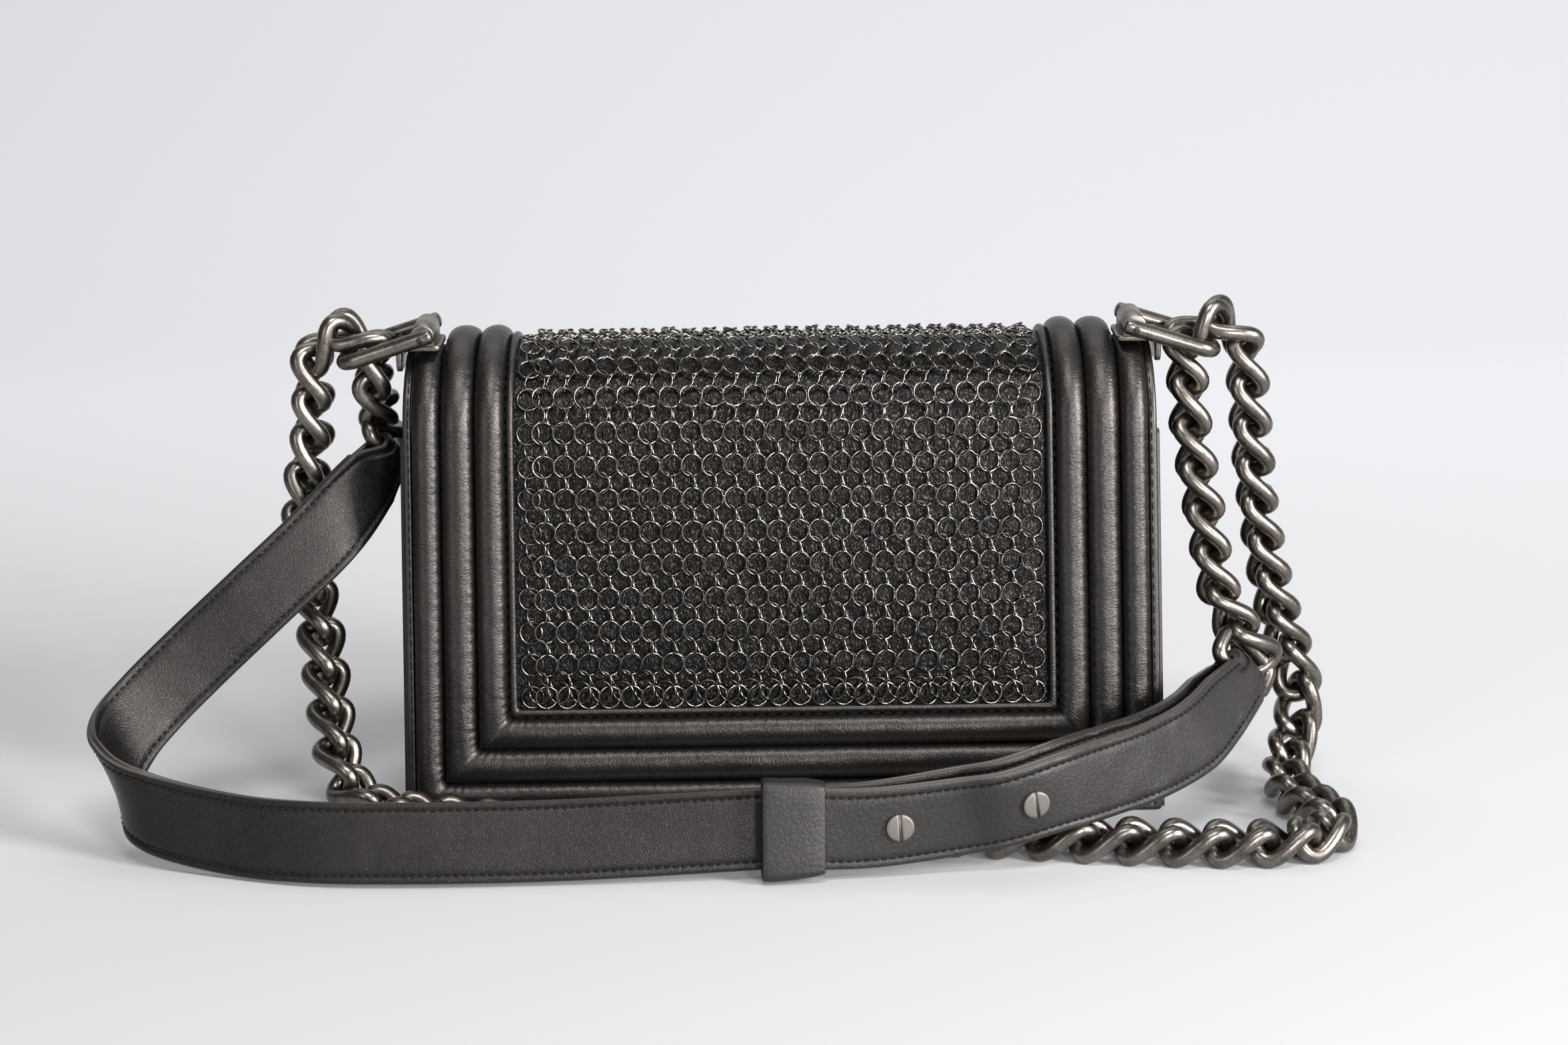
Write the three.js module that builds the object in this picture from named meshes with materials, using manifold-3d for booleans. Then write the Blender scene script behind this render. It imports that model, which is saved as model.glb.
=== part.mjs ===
// A small structured flap bag: padded leather frame, ring mail panel, curb chain and leather shoulder strap.
// Millimetres, +Z up. The origin is the middle of the base, on the surface that the bag stands on.
// The face with the full frame looks along -Y, and the flap comes over the top and closes on the +Y side.
import * as THREE from 'three';
import { mergeVertices } from 'three/addons/utils/BufferGeometryUtils.js';
import Module from 'manifold-3d';

const wasm = await Module();
wasm.setup();

// Driving dimensions of the bag's body
const HALF_WIDTH = 102;
const TOP_TAPER = 0.019;
const BODY_HEIGHT = 126.5;
const DOME_RADIUS = 24;
const DOME_Z = BODY_HEIGHT - DOME_RADIUS;
const FACE_Y = 32;
const SKIRT_Z = 0.4;
const LEATHER = 2;
const GAP = 0.3;

// The padded frame, measured inwards from the outer edge
const BINDING_END = 2.1;
const OUTER_ROLL = { from: 2.4, to: 9.9 };
const MIDDLE_ROLL = { from: 10.2, to: 19.0 };
const INNER_ROLL = { from: 19.3, to: 27.5 };
const PIPING = { at: 29, radius: 1.1 };
const ROLL_HEIGHT = 4.1;
const ROLL_FULLNESS = 0.75;
const ROLL_SIDES = 6;
// The outer roll goes flat under the brackets: angle over the top, and the height left there
const SHOULDER = [[0, 9], [24, 9], [45, 4], [60, 2.3], [74, 1]];
const MAIL = { inset: 31.6, from: 0.5, to: 2.1 };

// The panels
const FRONT_STEP = 2.6;
const FRONT_TOP = 98;
const GUSSET = { proud: 1.8, top: 102.5, dent: 4.5, steps: 4, across: 4 };
const BASE = { halfX: 100.2, backY: -29.4, frontY: 26.8, thickness: 2 };
const CLASP = { width: 34, height: 24, thickness: 2.6, corner: 3, up: 20.5 };
const DOME_STEPS = 6;

// The hardware at the two top corners
const BRACKET = {
  x: 95.2, y: -11, z: 128.4, tilt: 7, inner: 4.8, outer: 7.4, depth: 14, plate: 1.5, legDrop: 7.5,
  lugWidth: 6.4, pinUp: 2.6, holeRadius: 1.3, pinRadius: 1,
};
const BAIL = { wire: 4.3, spread: 18.4, reach: 22.4, slope: 17.7, corner: 4.2, sides: 6, eye: 2.3 };

// The chain: curb links whose two sides lie twisted out of the chain's plane
const LINK = { wire: 4.3, halfLength: 7.9, halfWidth: 4.5, twist: 3.4, pitch: 11.35, steps: 10, sides: 5 };
const END_LINK = {
  halfLength: 9.4,
  outline: [
    [1, 0.4], [0.74, 1], [0, 1], [-0.74, 1], [-1, 0.4], [-1, -0.4], [-0.74, -1], [0, -1], [0.74, -1], [1, -0.4],
  ],
};

// The strap
const STRAP = { width: 20.5, thickness: 3, layer: 3.5, tab: 1.6, foldWidth: 10.8, foldSteps: 6, steps: 1 };
const KEEPER = { x: 2, length: 16, slack: 0.6, wall: 1.4 };
const SCREW = { places: [28.5, 62.2], head: 3.4, headHeight: 1.1, post: 1.6, slot: 0.7, sides: 10 };

const METAL = { color: 0x3d3a37, roughness: 0.35, metalness: 0.9 };
const SCREW_METAL = { color: 0x8d8681, roughness: 0.4, metalness: 0.9 };
const BAG_LEATHER = { color: 0x2b2a28, roughness: 0.45, metalness: 0.35 };
const STRAP_LEATHER = { color: 0x33312e, roughness: 0.5, metalness: 0.3 };

const bag = new THREE.Group();
const radians = THREE.MathUtils.degToRad;
const vec = (x, y, z) => new THREE.Vector3(x, y, z);

// Solids from loops of points

function signedVolume(position, index) {
  const point = (i) => vec(position[3 * i], position[3 * i + 1], position[3 * i + 2]);
  let volume = 0;
  for (let k = 0; k < index.length; k += 3) {
    volume += point(index[k]).dot(point(index[k + 1]).cross(point(index[k + 2])));
  }
  return volume / 6;
}

function closedGeometry(position, index) {
  if (signedVolume(position, index) < 0) {
    index.reverse();
  }
  const geometry = new THREE.BufferGeometry();
  geometry.setAttribute('position', new THREE.Float32BufferAttribute(position, 3));
  geometry.setIndex(index);
  return geometry;
}

function capTriangles(ring) {
  const normal = vec(0, 0, 0);
  ring.forEach((p, i) => normal.add(p.clone().cross(ring[(i + 1) % ring.length])));
  const flat = new THREE.Quaternion().setFromUnitVectors(normal.normalize(), vec(0, 0, 1));
  const outline = ring.map((p) => p.clone().applyQuaternion(flat)).map((p) => new THREE.Vector2(p.x, p.y));
  return THREE.ShapeUtils.triangulateShape(outline, []).map(([a, b, c]) => {
    const turn = outline[b].clone().sub(outline[a]).cross(outline[c].clone().sub(outline[a]));
    return turn > 0 ? [a, b, c] : [a, c, b];
  });
}

// Skins a row of rings with the same number of points, as a loop or with flat ends.
function loft(rings, loop = false) {
  const count = rings[0].length;
  const index = [];
  const spans = loop ? rings.length : rings.length - 1;
  for (let i = 0; i < spans; i += 1) {
    const here = i * count;
    const next = ((i + 1) % rings.length) * count;
    for (let j = 0; j < count; j += 1) {
      const k = (j + 1) % count;
      index.push(here + j, here + k, next + k, here + j, next + k, next + j);
    }
  }
  if (!loop) {
    const last = (rings.length - 1) * count;
    capTriangles(rings[0]).forEach(([a, b, c]) => index.push(a, c, b));
    capTriangles(rings[rings.length - 1]).forEach(([a, b, c]) => index.push(last + a, last + b, last + c));
  }
  return closedGeometry(rings.flat().flatMap((p) => [p.x, p.y, p.z]), index);
}

function toSolid(geometry) {
  const bare = geometry.clone();
  bare.deleteAttribute('normal');
  bare.deleteAttribute('uv');
  const merged = mergeVertices(bare, 1e-4);
  return new wasm.Manifold(new wasm.Mesh({
    numProp: 3,
    vertProperties: new Float32Array(merged.attributes.position.array),
    triVerts: new Uint32Array(merged.index.array),
  }));
}

function fromSolid(solid) {
  const mesh = solid.getMesh();
  return closedGeometry(Array.from(mesh.vertProperties), Array.from(mesh.triVerts));
}

function moved(geometry, x, y, z) {
  return geometry.clone().translate(x, y, z);
}

function addPiece(name, geometry, finish, parent = bag) {
  const mesh = new THREE.Mesh(geometry, new THREE.MeshStandardMaterial(finish));
  mesh.name = name;
  parent.add(mesh);
  return mesh;
}

// The side profile: straight back, round top, straight front

const toDome = Math.hypot(FACE_Y, DOME_Z - SKIRT_Z);
const LEAN = Math.atan2(FACE_Y, DOME_Z - SKIRT_Z) - Math.asin(DOME_RADIUS / toDome);
const STRAIGHT = Math.sqrt(toDome ** 2 - DOME_RADIUS ** 2);
const ARC = DOME_RADIUS * (Math.PI - 2 * LEAN);
const PROFILE = 2 * STRAIGHT + ARC;

function sidePoint(s) {
  if (s > PROFILE / 2) {
    const mirror = sidePoint(PROFILE - s);
    return { y: -mirror.y, z: mirror.z, ny: -mirror.ny, nz: mirror.nz };
  }
  if (s <= STRAIGHT) {
    return {
      y: -FACE_Y + s * Math.sin(LEAN), z: SKIRT_Z + s * Math.cos(LEAN),
      ny: -Math.cos(LEAN), nz: Math.sin(LEAN),
    };
  }
  const angle = Math.PI - LEAN - (s - STRAIGHT) / DOME_RADIUS;
  const ny = Math.cos(angle);
  const nz = Math.sin(angle);
  return { y: DOME_RADIUS * ny, z: DOME_Z + DOME_RADIUS * nz, ny, nz };
}

const widthAt = (z) => 1 - TOP_TAPER * Math.min(Math.max(z, 0) / BODY_HEIGHT, 1);

// A point on the cover: x across, s along the profile from the back's lower edge, h out of the leather.
function onCover(x, s, h) {
  const p = sidePoint(s);
  return vec(x * widthAt(p.z), p.y + h * p.ny, p.z + h * p.nz);
}

const alongStraight = (z) => (z - SKIRT_Z) / Math.cos(LEAN);

function domeStops(from, to, steps) {
  return Array.from({ length: steps + 1 }, (_, i) => from + ((to - from) * i) / steps);
}

const OVER_DOME = domeStops(STRAIGHT, STRAIGHT + ARC, DOME_STEPS);

// Stations of the frame: a side at a height s, a lower edge at a place x, or a mitred corner of the two.
const onSide = (side, s) => ({ side, s });
const onCorner = (side, edge) => ({ side, edge });

function framePoint(station, inset, h) {
  const x = station.side * (HALF_WIDTH - inset);
  const lower = { back: inset, front: PROFILE - inset };
  return onCover(x, station.edge ? lower[station.edge] : station.s, h);
}

const ringStations = [
  onCorner(-1, 'back'), onCorner(1, 'back'),
  ...OVER_DOME.map((s) => onSide(1, s)),
  onCorner(1, 'front'), onCorner(-1, 'front'),
  ...OVER_DOME.toReversed().map((s) => onSide(-1, s)),
];

function openStations(edge, stops) {
  const up = (side) => stops.map(({ s, limit }) => ({ side, s, limit }));
  return [...up(-1).reverse(), onCorner(-1, edge), onCorner(1, edge), ...up(1)];
}

function rollSection(roll, base, top) {
  const middle = (roll.from + roll.to) / 2;
  const half = (roll.to - roll.from) / 2;
  return Array.from({ length: ROLL_SIDES + 1 }, (_, i) => {
    const angle = (Math.PI * i) / ROLL_SIDES;
    return [middle - half * Math.cos(angle), base + (top - base) * Math.sin(angle) ** ROLL_FULLNESS];
  });
}

// Each station may press the padding down to its own limit.
function frameStrip(section, stations, loop) {
  const high = Math.max(...section.map(([, h]) => h));
  const rings = stations.map((station) => section.map(([inset, h]) => {
    const pressed = station.limit && h > 0 ? (h * Math.min(station.limit, high)) / high : h;
    return framePoint(station, inset, pressed);
  }));
  return loft(rings, loop);
}

// A sheet of leather on the cover between two heights, over the given stops of the profile.
function coverSheet(halfX, stops, from, to) {
  return loft(stops.map((s) => [
    onCover(-halfX, s, from), onCover(halfX, s, from), onCover(halfX, s, to), onCover(-halfX, s, to),
  ]));
}

// Body panels

function buildPanels() {
  const inside = HALF_WIDTH - BINDING_END - GAP;
  const flapHalf = HALF_WIDTH - MIDDLE_ROLL.from;
  const flapEnd = PROFILE - MIDDLE_ROLL.from;
  const frontStops = [PROFILE - alongStraight(FRONT_TOP), PROFILE - BINDING_END - GAP];
  addPiece('back_panel', coverSheet(inside, [BINDING_END + GAP, STRAIGHT - GAP], -LEATHER, 0), BAG_LEATHER);
  addPiece('flap', coverSheet(flapHalf, [...OVER_DOME, flapEnd], -LEATHER, 0), BAG_LEATHER);
  const front = coverSheet(inside, frontStops, -FRONT_STEP - LEATHER, -FRONT_STEP);
  addPiece('front_panel', front, BAG_LEATHER);
  const base = new THREE.BoxGeometry(2 * BASE.halfX, BASE.frontY - BASE.backY, BASE.thickness);
  addPiece('base_panel', moved(base, 0, (BASE.frontY + BASE.backY) / 2, BASE.thickness / 2), BAG_LEATHER);
  [-1, 1].forEach((side) => {
    addPiece(side < 0 ? 'gusset_left' : 'gusset_right', gussetWall(side), BAG_LEATHER);
  });
}

// A side wall that creases inwards along its middle, more towards the top.
function gussetWall(side) {
  const rings = Array.from({ length: GUSSET.steps + 1 }, (_, i) => {
    const z = SKIRT_Z + ((GUSSET.top - SKIRT_Z) * i) / GUSSET.steps;
    const s = alongStraight(z);
    const back = onCover(0, s, -LEATHER - GAP).y;
    const front = onCover(0, PROFILE - s, -FRONT_STEP - LEATHER - GAP).y;
    const face = Array.from({ length: GUSSET.across + 1 }, (__, j) => {
      const share = j / GUSSET.across;
      const crease = 1 - Math.abs(2 * share - 1);
      const dent = GUSSET.dent * crease ** 2 * (z / GUSSET.top);
      return vec(side * ((HALF_WIDTH + GUSSET.proud) * widthAt(z) - dent), back + (front - back) * share, z);
    });
    const inner = face.toReversed().map((p) => vec(p.x - side * LEATHER, p.y, p.z));
    return [...face, ...inner];
  });
  return loft(rings);
}

// The padded frame

function buildFrame() {
  const shoulder = SHOULDER.map(([angle, limit]) => ({ s: STRAIGHT + DOME_RADIUS * radians(angle), limit }));
  const back = openStations('back', shoulder);
  const front = openStations('front', [{ s: PROFILE - alongStraight(FRONT_TOP) }]);
  const top = GAP + ROLL_HEIGHT;
  const ring = (roll) => frameStrip(rollSection(roll, GAP, top), ringStations, true);
  const binding = (low, high) => [
    [0.2, low], [0, (low + high) / 2], [0.4, high], [BINDING_END - 0.3, high], [BINDING_END, low],
  ];
  addPiece('roll_middle', ring(MIDDLE_ROLL), BAG_LEATHER);
  addPiece('roll_inner', ring(INNER_ROLL), BAG_LEATHER);
  addPiece('roll_outer_back', frameStrip(rollSection(OUTER_ROLL, GAP, top), back, false), BAG_LEATHER);
  const low = GAP - FRONT_STEP;
  addPiece('roll_outer_front', frameStrip(rollSection(OUTER_ROLL, low, top), front, false), BAG_LEATHER);
  addPiece('binding_back', frameStrip(binding(-LEATHER, 1.2), back, false), BAG_LEATHER);
  addPiece('binding_front', frameStrip(binding(-FRONT_STEP - LEATHER, -0.6), front, false), BAG_LEATHER);
  const round = Array.from({ length: 5 }, (_, i) => {
    const angle = (2 * Math.PI * i) / 5;
    const up = GAP + PIPING.radius * (1 + Math.sin(angle));
    return [PIPING.at + PIPING.radius * Math.cos(angle), up];
  });
  addPiece('panel_piping', frameStrip(round, ringStations, true), BAG_LEATHER);
}

function buildMailAndClasp() {
  const stops = [MAIL.inset, ...OVER_DOME, PROFILE - MAIL.inset];
  addPiece('mail_panel', coverSheet(HALF_WIDTH - MAIL.inset, stops, MAIL.from, MAIL.to), METAL);
  const halfW = CLASP.width / 2;
  const halfH = CLASP.height / 2;
  const outline = new THREE.Shape();
  outline.moveTo(-halfW + CLASP.corner, -halfH);
  outline.lineTo(halfW - CLASP.corner, -halfH);
  outline.absarc(halfW - CLASP.corner, -halfH + CLASP.corner, CLASP.corner, -Math.PI / 2, 0);
  outline.absarc(halfW - CLASP.corner, halfH - CLASP.corner, CLASP.corner, 0, Math.PI / 2);
  outline.absarc(-halfW + CLASP.corner, halfH - CLASP.corner, CLASP.corner, Math.PI / 2, Math.PI);
  outline.absarc(-halfW + CLASP.corner, -halfH + CLASP.corner, CLASP.corner, Math.PI, 1.5 * Math.PI);
  const plate = new THREE.ExtrudeGeometry(outline, {
    depth: CLASP.thickness, bevelEnabled: false, curveSegments: 2,
  });
  const up = vec(0, -Math.sin(LEAN), Math.cos(LEAN));
  const out = vec(0, Math.cos(LEAN), Math.sin(LEAN));
  const seat = onCover(0, PROFILE - CLASP.up, 2 * GAP + ROLL_HEIGHT);
  addPiece('clasp_plate', plate.applyMatrix4(basis(vec(-1, 0, 0), up, out, seat)), METAL);
}

// Brackets, bails and pins, one set for each top corner

function bracketSolid(side) {
  const { inner, outer, depth, plate, legDrop, lugWidth, pinUp, holeRadius } = BRACKET;
  const slab = new THREE.BoxGeometry(inner + outer, depth, plate);
  const top = moved(slab, (side * (outer - inner)) / 2, 0, -plate / 2);
  const leg = moved(
    new THREE.BoxGeometry(plate, depth - 2, legDrop), side * (outer - plate / 2), 0, -legDrop / 2,
  );
  const lugLength = BAIL.spread - BAIL.wire - 2 * GAP;
  const lug = new THREE.Shape();
  lug.moveTo(-lugWidth / 2, -plate / 2);
  lug.lineTo(lugWidth / 2, -plate / 2);
  lug.lineTo(lugWidth / 2, pinUp);
  lug.absarc(0, pinUp, lugWidth / 2, 0, Math.PI);
  const barrel = new THREE.ExtrudeGeometry(lug, { depth: lugLength, bevelEnabled: false, curveSegments: 6 });
  barrel.rotateX(Math.PI / 2).translate(0, lugLength / 2, 0);
  const hole = new THREE.CylinderGeometry(holeRadius, holeRadius, BAIL.spread, 8).translate(0, 0, pinUp);
  return fromSolid(toSolid(top).add(toSolid(leg)).add(toSolid(barrel)).subtract(toSolid(hole)));
}

// A stirrup of round wire: two arms from the pin, joined by a bar across the far end.
function bailSolid(side) {
  const { wire, spread, reach, corner, sides, eye } = BAIL;
  const half = spread / 2;
  const path = new THREE.CurvePath();
  const arms = [vec(eye, -half, 0), vec(-reach + corner, -half, 0), vec(-reach, -half + corner, 0)];
  const back = arms.map((p) => vec(p.x, -p.y, p.z)).reverse();
  path.add(new THREE.LineCurve3(arms[0], arms[1]));
  path.add(new THREE.QuadraticBezierCurve3(arms[1], vec(-reach, -half, 0), arms[2]));
  path.add(new THREE.LineCurve3(arms[2], back[0]));
  path.add(new THREE.QuadraticBezierCurve3(back[0], vec(-reach, half, 0), back[1]));
  path.add(new THREE.LineCurve3(back[1], back[2]));
  const bends = [0, 1, 2, 3].map((i) => i / 3);
  const line = [
    arms[0], ...bends.map((t) => path.curves[1].getPoint(t)),
    ...bends.map((t) => path.curves[3].getPoint(t)), back[2],
  ];
  const rings = line.map((p, i) => {
    const before = line[Math.max(i - 1, 0)];
    const after = line[Math.min(i + 1, line.length - 1)];
    const along = after.clone().sub(before).normalize();
    const out = vec(-along.y, along.x, 0);
    return Array.from({ length: sides }, (_, k) => {
      const angle = (2 * Math.PI * (k + 0.5)) / sides;
      return p.clone().addScaledVector(out, (wire / 2) * Math.cos(angle)).setZ((wire / 2) * Math.sin(angle));
    });
  });
  const hole = new THREE.CylinderGeometry(BRACKET.holeRadius, BRACKET.holeRadius, 2 * spread, 8);
  const bail = fromSolid(toSolid(loft(rings)).subtract(toSolid(hole)));
  bail.rotateY(radians(-BAIL.slope));
  return side < 0 ? bail : bail.rotateZ(Math.PI);
}

function buildHardware() {
  [-1, 1].forEach((side) => {
    const end = side < 0 ? 'left' : 'right';
    const corner = new THREE.Group();
    corner.position.set(side * BRACKET.x, BRACKET.y, BRACKET.z);
    corner.rotation.x = radians(BRACKET.tilt);
    bag.add(corner);
    addPiece(`bracket_${end}`, bracketSolid(side), METAL, corner);
    const bail = addPiece(`bail_${end}`, bailSolid(side), METAL, corner);
    bail.position.z = BRACKET.pinUp;
    const pin = new THREE.CylinderGeometry(BRACKET.pinRadius, BRACKET.pinRadius, BAIL.spread + 1.6, 8);
    addPiece(`pin_${end}`, pin, METAL, corner).position.z = BRACKET.pinUp;
  });
}

// Routes of strap and chain: hand-placed rows, joined by smooth curves

function smooth(points) {
  return new THREE.CatmullRomCurve3(points, false, 'centripetal');
}

function basis(x, y, z, at) {
  return new THREE.Matrix4().makeBasis(x, y, z).setPosition(at);
}

const squareTo = (v, along) => v.clone().addScaledVector(along, -v.dot(along)).normalize();

// The strap: middle of each row, the way across it from lower to upper edge, and its width
const STRAP_COLUMNS = ['x', 'y', 'z', 'acrossX', 'acrossY', 'acrossZ', 'width'];
const SINGLE_ROWS = [
  [-112.0, -8.3, 90.3, -9.5, -9.4, 14.9, 19.5],
  [-124.5, -18.0, 76.0, -13.0, 1.0, 15.3, 20.5],
  [-141.5, -24.5, 60.6, -12.9, 1.1, 15.6, 20.5],
  [-159.1, -29.6, 44.7, -12.6, 1.3, 16.1, 20.5],
  [-169.4, -34.9, 34.9, -11.8, 1.8, 17.0, 20.5],
  [-175.0, -41.6, 28.4, -9.8, 2.6, 17.7, 20.5],
  [-176.0, -50.3, 22.8, -7.9, 3.5, 18.2, 20.5],
  [-172.0, -59.8, 17.9, -7.6, 4.2, 19.0, 20.5],
  [-164.4, -66.4, 14.4, -6.8, 4.8, 19.3, 20.5],
  [-141.0, -76.0, 11.0, -4.3, 5.6, 19.4, 20.5],
  [-119.6, -82.4, 10.6, -2.4, 6.4, 19.2, 20.5],
  [-96.3, -84.6, 10.6, -0.9, 6.5, 19.3, 20.5],
  [-60.0, -84.4, 10.7, 0.0, 6.4, 19.4, 20.5],
  [-22.0, -83.6, 12.0, 0.0, 4.4, 19.7, 20.5],
];
// The doubled stretch, given for the layer on the outside
const DOUBLE_ROWS = [
  [2.0, -86.4, 13.5, 0.0, 2.8, 19.8, 20.5],
  [20.8, -85.6, 13.2, -0.6, 0.0, 20.0, 20.5],
  [44.8, -83.8, 15.4, -2.2, -2.6, 20.1, 20.5],
  [55.5, -84.8, 17.4, -3.4, -4.0, 19.6, 20.5],
  [69.5, -80.6, 20.3, -4.8, -3.6, 19.5, 20.5],
  [82.0, -72.0, 21.3, -6.2, -3.0, 19.0, 20.5],
  [97.0, -60.6, 22.9, -8.6, -3.8, 18.0, 20.5],
  [109.5, -48.8, 26.0, -11.0, -5.8, 16.4, 20.5],
  [117.6, -38.2, 30.4, -12.4, -5.6, 15.0, 18.5],
  [125.4, -27.2, 34.6, -13.4, -4.7, 14.1, 14.5],
];
const LAYER_SPREAD = [3.5, 3.5, 3.5, 3.5, 3.5, 3.5, 3.6, 4.4, 5.8, 7.9];
const BAND_LIFT = [0, 0.6, 1.6, 1.8, 2.1, 2.3, 2, 1.2, 0.6, 0];

function strapRow(values) {
  const row = Object.fromEntries(STRAP_COLUMNS.map((name, i) => [name, values[i]]));
  const across = vec(row.acrossX, row.acrossY, row.acrossZ).normalize();
  return { at: vec(row.x, row.y, row.z), across, width: row.width };
}

function rowFrame(rows, i) {
  const before = rows[Math.max(i - 1, 0)].at;
  const after = rows[Math.min(i + 1, rows.length - 1)].at;
  const along = squareTo(after.clone().sub(before), rows[i].across);
  return { along, across: rows[i].across, out: along.clone().cross(rows[i].across) };
}

// Stations of a stretch of strap, a few from each row to the next.
function stretch(rows, thickness) {
  const line = smooth(rows.map((row) => row.at));
  const sides = smooth(rows.map((row) => row.across));
  const total = (rows.length - 1) * STRAP.steps;
  return Array.from({ length: total + 1 }, (_, k) => {
    const t = k / total;
    const i = Math.min(Math.floor(k / STRAP.steps), rows.length - 2);
    const share = k / STRAP.steps - i;
    const along = line.getTangent(t);
    const across = squareTo(sides.getPoint(t), along);
    const width = rows[i].width + (rows[i + 1].width - rows[i].width) * share;
    return { at: line.getPoint(t), across, out: along.clone().cross(across), width, thickness };
  });
}

function ribbon(stations) {
  return loft(stations.map(({ at, across, out, width, thickness }) => {
    const corner = (side, face) => at.clone()
      .addScaledVector(across, (side * width) / 2)
      .addScaledVector(out, (face * thickness) / 2);
    return [corner(-1, -1), corner(1, -1), corner(1, 1), corner(-1, 1)];
  }));
}

// Half a turn round a bar, from the side that `from` points to, past `along`, to the far side.
function fold(end, from, radius, thickness) {
  return Array.from({ length: STRAP.foldSteps + 1 }, (_, k) => {
    const angle = (Math.PI * k) / STRAP.foldSteps;
    const way = from.clone().multiplyScalar(Math.cos(angle)).addScaledVector(end.along, Math.sin(angle));
    const at = end.bar.clone().addScaledVector(way, radius);
    return { at, across: end.across, out: way.clone().negate(), width: STRAP.foldWidth, thickness };
  });
}

const singleRows = SINGLE_ROWS.map(strapRow);
const tailRows = DOUBLE_ROWS.map(strapRow);
const bandRows = tailRows.map((row, i) => {
  const { out } = rowFrame(tailRows, i);
  const at = row.at.clone().addScaledVector(out, -LAYER_SPREAD[i]).addScaledVector(row.across, BAND_LIFT[i]);
  return { ...row, at };
});

// The right end: the two layers meet in a fold round the last link.
function rightEnd() {
  const last = tailRows.length - 1;
  const frame = rowFrame(tailRows, last);
  const radius = LAYER_SPREAD[last] / 2;
  const bar = tailRows[last].at.clone().addScaledVector(frame.out, -radius).addScaledVector(frame.along, 3);
  return { ...frame, bar, radius };
}

// The left end: a thin tab runs on from the band, turns round its link and comes back behind.
function leftEnd() {
  const frame = rowFrame(singleRows, 0);
  const along = frame.along.clone().negate();
  const radius = LINK.wire / 2 + 2 * GAP + STRAP.tab / 2;
  const bar = singleRows[0].at.clone().addScaledVector(along, 8).addScaledVector(frame.out, 1.2);
  return { along, across: frame.across, out: frame.out, bar, radius };
}

function tabStations(end) {
  const place = (run, depth, out, width) => ({
    at: singleRows[0].at.clone().addScaledVector(end.along, run).addScaledVector(end.out, depth),
    across: end.across, out, width, thickness: STRAP.tab,
  });
  const behind = STRAP.thickness / 2 + GAP + STRAP.tab / 2;
  const inward = end.out.clone().negate();
  return [
    place(-8, behind, inward, 13), place(2, behind + 0.3, inward, 13),
    ...fold(end, end.out, end.radius, STRAP.tab),
    place(2, -0.7, end.out, 13), place(0.8, -0.7, end.out, 18),
  ];
}

const strapEnds = { left: leftEnd(), right: rightEnd() };
const tailLine = stretch(tailRows, STRAP.thickness);

// Places along the tail, by their x.
function onTail(x) {
  const i = tailLine.findIndex((station) => station.at.x > x);
  const [a, b] = [tailLine[i - 1], tailLine[i]];
  const share = (x - a.at.x) / (b.at.x - a.at.x);
  const across = a.across.clone().lerp(b.across, share).normalize();
  const out = squareTo(a.out.clone().lerp(b.out, share), across);
  return { at: a.at.clone().lerp(b.at, share), across, out, along: across.clone().cross(out) };
}

function buildStrap() {
  const { left, right } = strapEnds;
  const band = stretch([...singleRows, ...bandRows], STRAP.thickness);
  const turn = fold(right, right.out.clone().negate(), right.radius, STRAP.thickness);
  const tail = tailLine.toReversed().map((station) => ({ ...station, out: station.out.clone().negate() }));
  let strap = toSolid(ribbon([...tabStations(left), ...band, ...turn, ...tail]));
  const through = new THREE.CylinderGeometry(SCREW.post + GAP, SCREW.post + GAP, 20, 10);
  SCREW.places.forEach((x, i) => {
    const place = onTail(x);
    const pose = basis(place.along, place.out, place.along.clone().cross(place.out), place.at);
    strap = strap.subtract(toSolid(through.clone().applyMatrix4(pose)));
    addPiece(`screw_${i + 1}`, screwSolid().applyMatrix4(pose), SCREW_METAL);
  });
  addPiece('strap', fromSolid(strap), STRAP_LEATHER);
  const place = onTail(KEEPER.x + 0.1);
  place.at.addScaledVector(place.out, -STRAP.layer / 2);
  const pose = basis(place.along, place.across, place.out, place.at);
  addPiece('strap_keeper', keeperSolid().applyMatrix4(pose), STRAP_LEATHER);
}

// A slotted head on the outside, a post through both layers, a plain head behind.
function screwSolid() {
  const { head, headHeight, post, slot, sides } = SCREW;
  const face = STRAP.thickness / 2 + 1.5 * GAP;
  const back = face + STRAP.layer + GAP;
  const disc = (y) => toSolid(new THREE.CylinderGeometry(head, head, headHeight, sides).translate(0, y, 0));
  const shaft = toSolid(new THREE.CylinderGeometry(post, post, face + back + headHeight, 10)
    .translate(0, (face - back) / 2, 0));
  const cut = new THREE.BoxGeometry(slot, headHeight, 2 * head + 1).translate(0, face + headHeight, 0);
  const body = disc(face + headHeight / 2).add(shaft).add(disc(-back - headHeight / 2));
  return fromSolid(body.subtract(toSolid(cut)));
}

function keeperSolid() {
  const width = STRAP.width + 2 * KEEPER.slack;
  const depth = STRAP.thickness + STRAP.layer + 2 * KEEPER.slack;
  const outer = new THREE.BoxGeometry(KEEPER.length, width + 2 * KEEPER.wall, depth + 2 * KEEPER.wall);
  const inner = new THREE.BoxGeometry(KEEPER.length + 2, width, depth);
  return fromSolid(toSolid(outer).subtract(toSolid(inner)));
}

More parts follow.
